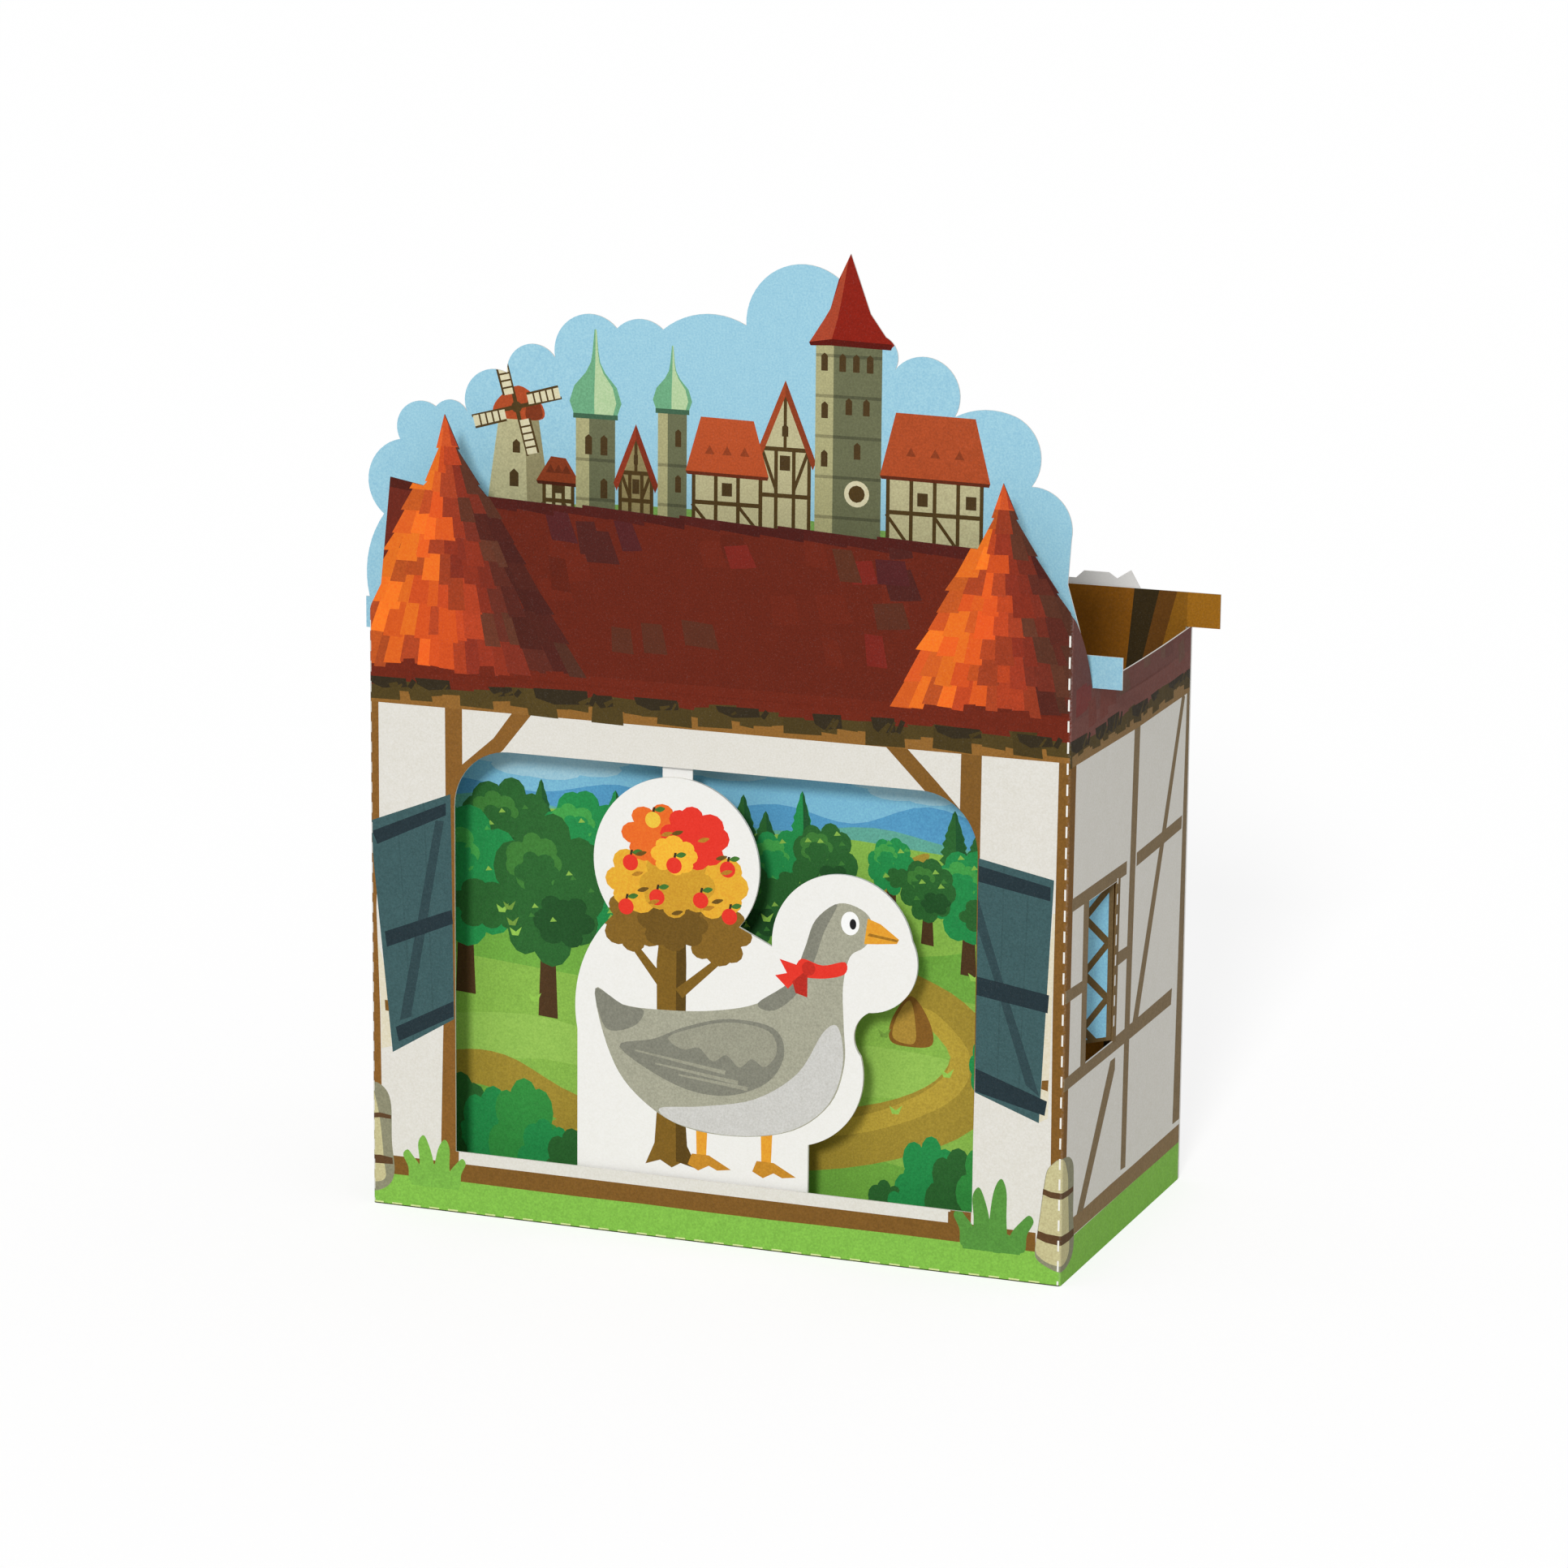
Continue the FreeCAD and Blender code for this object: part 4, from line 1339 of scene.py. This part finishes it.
GOOSE = (168, 167, 147)
GOOSE_DARK = (132, 132, 118)
GOOSE_LIGHT = (206, 205, 200)
BILL = (230, 160, 48)
RED = (232, 56, 42)
GOLD = (232, 174, 52)


def goose(art):
    for x in (-2, 10.2):
        art.fill(BILL, [(x - 1.1, 23), (x + 1.2, 23), (x + 0.9, 15.4), (x - 0.9, 15.4)])
        art.fill(toned(BILL, 0.86), [
            (x - 1.8, 15.8), (x + 1.4, 15.8), (x + 5.6, 13.6), (x + 3, 13.2), (x + 1.4, 13.9),
            (x - 0.6, 12.8), (x - 2.6, 13.8),
        ])
    art.soft(GOOSE, [
        (-22.2, 44), (-17, 41.6), (-9, 41.4), (0, 42.2), (8.4, 44.4), (14.4, 49), (17, 55), (19, 60.4),
        (23.4, 63.8), (28.2, 62.6), (29.8, 59.2), (28, 56.4), (25.4, 54.4), (24.2, 49), (24.4, 42),
        (24.6, 35), (22, 27.6), (15, 22), (4, 19.8), (-7, 21), (-15.6, 26.6), (-20, 34),
    ])
    art.soft(GOOSE_LIGHT, [
        (21.6, 27.4), (14.6, 22), (4, 19.9), (-6.4, 20.9), (-10, 23.4), (-2, 24.6), (8, 27), (16, 32.6),
        (20.6, 40.4), (23.4, 41.6), (24.3, 35),
    ])
    art.soft(GOOSE_DARK, [(-22.2, 44), (-17, 41.6), (-13, 40.9), (-15, 37.8), (-20.2, 37)])
    art.soft(GOOSE_DARK, [
        (11.4, 40.2), (13.4, 35.6), (10.2, 30.2), (2.4, 27), (-7, 28), (-17.6, 33.8), (-11, 36),
        (-5, 38.8), (3, 41),
    ])
    for low, high in (
        ((-14.6, 33.5), (2.4, 31.2)), ((-10.8, 31.5), (4.8, 29.6)), ((-6.4, 29.9), (6.6, 28.7)),
    ):
        art.beam(toned(GOOSE, 0.94), low, high, 0.3, 0.75)
    art.soft(toned(GOOSE, 0.93), [
        (10.4, 39.6), (12, 36), (9.8, 33), (7.4, 34.2), (5, 32.4), (2.6, 34.4), (0, 33), (-2.6, 35.2),
        (-5.6, 34.6), (-8.4, 36.4), (-4.4, 38.4), (3, 40.4),
    ])
    art.soft(GOOSE_DARK, [
        (8.4, 44.4), (14.4, 49), (17, 55), (19, 60.4), (23, 63.6), (20.6, 58.4), (18.8, 53), (15.8, 47),
        (11.4, 43.4),
    ])
    art.fill(BILL, [(28.6, 61.6), (31, 60.8), (34.4, 58.4), (34, 57.6), (30.4, 57.2), (28, 57)])
    art.fill(toned(BILL, 0.72), [(28.9, 59), (34.3, 58.3), (34, 57.9), (28.6, 58.5)])
    art.oval((250, 250, 248), (25.4, 60.4), 1.7, 2.1)
    art.oval((30, 30, 32), (25.9, 60.3), 0.62, 0.95)
    art.soft(RED, [(15.6, 50.4), (20, 50), (24.4, 51.2), (24.5, 53.4), (20.4, 52.4), (16.4, 53.2)])
    art.fill(RED, [(17.6, 51.6), (14, 47.6), (11.6, 49.8), (13.8, 50.4), (12.4, 52.8)])
    art.fill(toned(RED, 0.8), [(17.6, 51.4), (17.6, 46.4), (15.4, 47), (14.8, 49)])
    art.oval(toned(RED, 0.86), (17.8, 51.6), 1.25)


def apple_tree(art, dice):
    wood = (128, 96, 34)
    art.fill(wood, [
        (-12.6, 13), (-10.9, 17), (-10.4, 24), (-10.6, 50), (-8.8, 66), (-5.4, 66), (-5, 50),
        (-5.2, 24), (-4.7, 17), (-2.6, 13), (-5.6, 14), (-7.6, 12.8), (-9.8, 14),
    ])
    art.fill(toned(wood, 0.72), [
        (-6.8, 14), (-2.6, 13), (-4.7, 17), (-5.2, 24), (-5, 50), (-5.4, 66), (-6.8, 66), (-7, 30),
    ])
    for start, end in (
        ((-9.4, 46), (-17, 55)), ((-6.4, 44.6), (3, 53)), ((-8, 56), (-15, 66)), ((-7, 56), (1, 66)),
    ):
        art.beam(wood, start, end, 2, 1)
    brown = (134, 100, 37)
    for tone, centre, across, up in (
        (brown, (-15, 56.8), 6, 5.2), (brown, (0.8, 56), 6.2, 5.4),
        (toned(brown, 0.85), (-7.6, 57.4), 6.4, 5), (GOLD, (-13.6, 64.6), 6.4, 5.8),
        (GOLD, (0, 64.8), 6.2, 5.8), (toned(GOLD, 0.90), (-6.8, 64.4), 6.8, 6),
        ((236, 110, 40), (-10.2, 72.8), 6.8, 5.4), (RED, (-3.6, 72.8), 6.2, 5.4),
        (toned(GOLD, 1.06), (-7.4, 69.4), 4.2, 3.4),
    ):
        crown(art, dice, tone, centre, across, up, 8)
    for x, z in (
        (-16.4, 59.4), (-10.6, 61.6), (3, 59.4), (-2.4, 61.8), (-15.6, 67.4), (2.6, 67.8), (-7.4, 67.6),
        (-11.4, 75.4),
    ):
        art.fill((60, 47, 30), [
            (x - 0.2, z + 1.1), (x + 0.25, z + 1.1), (x + 0.5, z + 2.3), (x + 0.05, z + 2.3),
        ])
        art.soft((70, 120, 50), [
            (x + 0.3, z + 1.8), (x + 1.3, z + 2.5), (x + 2.3, z + 2.2), (x + 1.4, z + 1.5),
        ], 3)
        art.oval(RED if z < 70 else (240, 196, 66), (x, z), 1.45)
    for k in range(12):
        a = 2 * math.pi * k / 12 + dice.uniform(-0.2, 0.2)
        x, z = -7 + 8.4 * math.cos(a), 66.0 + 7.2 * math.sin(a)
        art.soft(toned(brown, 0.82) if k % 2 else (186, 128, 40), [
            (x, z), (x + 0.9, z + 0.7), (x + 2.2, z + 0.7), (x + 1.2, z - 0.1),
        ], 3)


def puppet_art():
    dice = random.Random(47)
    art = Art((240, 239, 234))
    apple_tree(art, dice)
    goose(art)
    return art


# Shapes of the cards in space


def wrap_place(u, v, depth):
    """The box's wrap. u runs round it from the middle of the front, and v up it."""
    side = math.copysign(1, u)
    run = abs(u)
    inset = depth * CARD
    r = FOLD_RADIUS
    rear = HALF + SIDE_LENGTH
    if run <= HALF - r:
        x, y = run, FRONT_Y + inset
    elif run < HALF + r:
        a = (run - HALF + r) / (2 * r) * math.pi / 2
        x = HALF - r + (r - inset) * math.sin(a)
        y = FRONT_Y + r - (r - inset) * math.cos(a)
    elif run <= rear - r:
        x, y = HALF - inset, FRONT_Y + run - HALF
    elif run < rear + r:
        a = (run - rear + r) / (2 * r) * math.pi / 2
        x = HALF - r + (r - inset) * math.cos(a)
        y = REAR_Y - r + (r - inset) * math.sin(a)
    else:
        x, y = HALF - (run - rear), REAR_Y - inset
    if run < HALF:
        y += FRONT_DIP * (1 - (run / HALF) ** 2) * min(1, v / FRONT_DIP_FULL)
    elif run < rear:
        share = (run - HALF) / SIDE_LENGTH
        x += SIDE_BULGE * math.sin(math.pi * share) * max(0, v / SIDE_TOP) ** 2
    return side * x, y, v


def fold_lines():
    """Guide lines across the rounded folds of the wrap."""
    lines = []
    for middle in (HALF, HALF + SIDE_LENGTH):
        for k in range(-FOLD_STEPS, FOLD_STEPS + 1):
            u = middle + FOLD_RADIUS * k / FOLD_STEPS
            lines += [[(x, -2), (x, 150)] for x in (u, -u)]
    return lines


def wrap_regions():
    rear = HALF + SIDE_LENGTH

    def snapped(u, target):
        return target if abs(u - target) < 1.5 * CARD else u

    regions = [(standing_loops("front_panel"), front_art(), None)]
    art = side_art()
    for side, name in ((-1, "left"), (1, "right")):
        def unrolled(x, y, z):
            run = snapped(HALF + y - FRONT_Y, HALF)
            return (side * snapped(run, rear), z)

        def tabbed(x, y, z):
            return (side * snapped(rear + HALF - abs(x), rear), z)

        loops = flat_loops(name + "_side_panel", (side, 0, 0), unrolled)
        regions.append((loops, art.placed(lambda d, z: (side * (HALF + d), z)), None))
        regions.append((flat_loops(name + "_rear_tab", (0, 1, 0), tabbed), None, None))
    return regions


ROOF_FOOT = 96
FOLD_WEAR = 0.10


def wrap_seam(u, v):
    """The ink that shows on the cut edges of the roof and at the window flaps' hinges."""
    run = abs(u)
    if run < HALF and v > ROOF_FOOT:
        return between(ROOF_DARK, PAPER, 0.10)
    right, low, high = SIDE_WINDOW[1:]
    if abs(run - HALF - right) < 0.3 and low + 0.1 < v < high - 0.1:
        return HINGE_WOOD
    return None


def crease_wear(u, v):
    """How far the print is cracked, most in the middle of each fold."""
    run = abs(u)
    near = min(abs(run - HALF), abs(run - HALF - SIDE_LENGTH))
    return FOLD_WEAR * max(0, 1 - near / FOLD_RADIUS)


card_piece(
    "theatre_wrap",
    ["front_panel", "left_side_panel", "right_side_panel", "left_rear_tab", "right_rear_tab"],
    "theatre_box", wrap_regions(), wrap_place, fold_lines(), wear=crease_wear,
    seam=wrap_seam,
)


TAB_FOLD = 0.35
TAB_X = box_mm("floor_right_tab")[1][0]
TAB_Y = box_mm("floor_rear_tab")[1][1]
FLOOR_TOP = box_mm("floor_panel")[1][2]


def folded(run, edge, depth):
    """How far out and how high a sheet is at run, where it turns up at edge."""
    lift = (1 - depth) * CARD
    start, r = edge - TAB_FOLD, TAB_FOLD
    if run <= start:
        return run, FLOOR_TOP - CARD + lift
    arc = r * math.pi / 2
    if run < start + arc:
        a = (run - start) / r
        return start + (r - lift) * math.sin(a), FLOOR_TOP - CARD + r - (r - lift) * math.cos(a)
    return edge - lift, FLOOR_TOP - CARD + r + run - start - arc


def floor_place(u, v, depth):
    """The floor, with its tabs turned up at both sides and at the rear."""
    if v > TAB_Y - TAB_FOLD:
        y, z = folded(v, TAB_Y, depth)
        return u, y, z
    x, z = folded(abs(u), TAB_X, depth)
    return math.copysign(x, u), v, z


def floor_regions():
    slack = TAB_FOLD * (2 - math.pi / 2)

    def lying(x, y, z):
        return x, y

    def sideways(x, y, z):
        run = TAB_X + z if z > FLOOR_TOP + 0.1 else TAB_X
        return math.copysign(run - slack if run > TAB_X else run, x), y

    def rearward(x, y, z):
        return x, TAB_Y + z - slack if z > FLOOR_TOP + 0.1 else TAB_Y

    paper = Art(PAPER)
    regions = [(flat_loops("floor_panel", (0, 0, 1), lying), paper, paper)]
    for name, side in (("floor_left_tab", -1), ("floor_right_tab", 1)):
        regions.append((flat_loops(name, (-side, 0, 0), sideways), paper, paper))
    regions.append((flat_loops("floor_rear_tab", (0, -1, 0), rearward), paper, paper))
    return regions


def floor_folds():
    """Guide lines across the rounded folds of the floor's tabs."""
    lines = []
    for k in range(4):
        step = TAB_FOLD * math.pi / 2 * k / 3
        for side in (-1, 1):
            u = side * (TAB_X - TAB_FOLD + step)
            lines.append([(u, -60), (u, 60)])
        v = TAB_Y - TAB_FOLD + step
        lines.append([(-80, v), (80, v)])
    return lines


card_piece(
    "theatre_floor", ["floor_panel", "floor_left_tab", "floor_right_tab", "floor_rear_tab"],
    "theatre_box", floor_regions(), floor_place, floor_folds(),
)


def upright(node_name, bow):
    """A place function for a card that faces the front, and bows a little to the rear."""
    low, high = box_mm(node_name)
    middle, half = (low[0] + high[0]) / 2, (high[0] - low[0]) / 2

    def place(u, v, depth):
        share = (u - middle) / half
        return u, low[1] + depth * CARD + bow * (1 - share**2), v

    return place


# The name, node, body, slot, front print, back print and bow of each standing card
PUPPET = puppet_art()
STANDING_CARDS = [
    ("theatre_back", "back_panel", "theatre_box", "printed_side", None, back_art(), 0),
    ("sky_scene_card", "sky_card", "sky_scene", "printed_sky", sky_art(), None, SKY_BOW),
    ("interior_scene_card", "interior_card", "interior_scene", "printed_interior",
     interior_art(), None, INTERIOR_BOW),
    ("puppet_front_print", "puppet_front_card", "puppet", "printed_puppet", PUPPET, None, PUPPET_BOW),
    ("puppet_back_print", "puppet_back_card", "puppet", "printed_puppet", None, PUPPET, PUPPET_BOW),
    ("puppet_holding_strip", "puppet_strip", "puppet", "bare_card", Art(PAPER), None, 0),
]
for name, node_name, body, slot, front, back, bow in STANDING_CARDS:
    regions = [(standing_loops(node_name), front, back)]
    card_piece(name, [node_name], body, regions, upright(node_name, bow))


# The window flaps: how far they stand open, where the right one's hinge is, and how far the
# print reaches on towards the wall there
FLAP_OPEN = 40.0
HINGE = (64.55, -7.9)
HINGE_REACH = 0.22


def add_flap(name, side):
    """A window flap, drawn shut and then swung in to where the model has it at rest."""
    hinge = Vector((side * HINGE[0], HINGE[1], 0)) * MM
    swing = Matrix.Rotation(math.radians(side * FLAP_OPEN), 4, "Z")
    shut = Matrix.Translation(hinge) @ swing @ Matrix.Translation(-hinge)
    back = shut.inverted()

    def place(d, z, depth):
        point = Vector((side * (HALF - depth * CARD), d + FRONT_Y, z)) * MM
        return (back @ point) / MM

    def shown(x, y, z):
        d = y - FRONT_Y
        return (d + HINGE_REACH if d > SIDE_WINDOW[1] - 1 else d, z)

    loops = flat_loops(name + "_window_flap", (side, 0, 0), shown, shut)
    card_piece(
        name + "_flap_print", [name + "_window_flap"], name + "_flap",
        [(loops, flap_art(), None)], place,
        seam=lambda d, z: HINGE_WOOD if d > SIDE_WINDOW[1] - 0.8 else None,
    )


add_flap("left", -1)
add_flap("right", 1)


# Camera, light and floor


def add_camera():
    yaw, pitch, roll = (math.radians(a) for a in (CAMERA_YAW, CAMERA_PITCH, CAMERA_ROLL))
    level_run = math.cos(pitch)
    forward = Vector((math.sin(yaw) * level_run, math.cos(yaw) * level_run, -math.sin(pitch)))
    level = Vector((math.cos(yaw), -math.sin(yaw), 0))
    down = forward.cross(level)
    right = level * math.cos(roll) + down * math.sin(roll)
    down = down * math.cos(roll) - level * math.sin(roll)
    data = bpy.data.cameras.new("camera")
    data.sensor_width = SENSOR
    data.lens = FOCAL_PIXELS / IMAGE_SIDE * SENSOR
    data.clip_start, data.clip_end = 0.01, 100
    camera = bpy.data.objects.new("camera", data)
    turned = Matrix((right, -down, -forward)).transposed().to_4x4()
    camera.matrix_world = Matrix.Translation(CAMERA_PLACE) @ turned
    bpy.context.scene.collection.objects.link(camera)
    bpy.context.scene.camera = camera


def seen_as(tree, output_kind, lights, shows):
    """Ends a tree in two shaders: one for the light on the cards, one for the camera."""
    output = node(tree, output_kind)
    path = node(tree, "ShaderNodeLightPath")
    pick = node(tree, "ShaderNodeMixShader")
    tree.links.new(path.outputs["Is Camera Ray"], pick.inputs[0])
    tree.links.new(lights.outputs[0], pick.inputs[1])
    tree.links.new(shows.outputs[0], pick.inputs[2])
    tree.links.new(pick.outputs[0], output.inputs["Surface"])


def add_floor():
    mesh = bpy.data.meshes.new("floor")
    places = [(FLOOR_REACH * x, FLOOR_REACH * y, 0) for x, y in ((-1, -1), (1, -1), (1, 1), (-1, 1))]
    mesh.from_pydata(places, [], [(0, 1, 2, 3)])
    floor = bpy.data.objects.new("floor", mesh)
    bpy.context.scene.collection.objects.link(floor)
    material = bpy.data.materials.new("floor_white")
    material.use_nodes = True
    tree = material.node_tree
    tree.nodes.clear()
    diffuse = node(tree, "ShaderNodeBsdfDiffuse", Color=(FLOOR_WHITE, FLOOR_WHITE, FLOOR_WHITE, 1))
    shown = node(tree, "ShaderNodeBsdfDiffuse", Color=(FLOOR_SHOWN, FLOOR_SHOWN, FLOOR_SHOWN, 1))
    glow = node(tree, "ShaderNodeEmission", Color=(1, 1, 1, 1), Strength=FLOOR_GLOW)
    both = node(tree, "ShaderNodeAddShader")
    tree.links.new(shown.outputs[0], both.inputs[0])
    tree.links.new(glow.outputs[0], both.inputs[1])
    seen_as(tree, "ShaderNodeOutputMaterial", diffuse, both)
    mesh.materials.append(material)


def add_light():
    world = bpy.data.worlds.new("studio")
    bpy.context.scene.world = world
    world.use_nodes = True
    tree = world.node_tree
    tree.nodes.clear()
    soft = node(tree, "ShaderNodeBackground", Color=(1, 1, 1, 1), Strength=WORLD_LEVEL)
    white = node(tree, "ShaderNodeBackground", Color=(1, 1, 1, 1), Strength=1)
    seen_as(tree, "ShaderNodeOutputWorld", soft, white)
    lamp = bpy.data.lights.new("key", "SUN")
    lamp.energy = KEY_STRENGTH
    lamp.angle = math.radians(KEY_ANGLE)
    key = bpy.data.objects.new("key", lamp)
    azimuth, rise = math.radians(KEY_AZIMUTH), math.radians(KEY_ELEVATION)
    run = math.cos(rise)
    toward = Vector((math.sin(azimuth) * run, -math.cos(azimuth) * run, math.sin(rise)))
    key.rotation_euler = toward.to_track_quat("Z", "Y").to_euler()
    bpy.context.scene.collection.objects.link(key)
    bpy.context.scene.view_settings.view_transform = "Standard"


add_camera()
add_floor()
add_light()
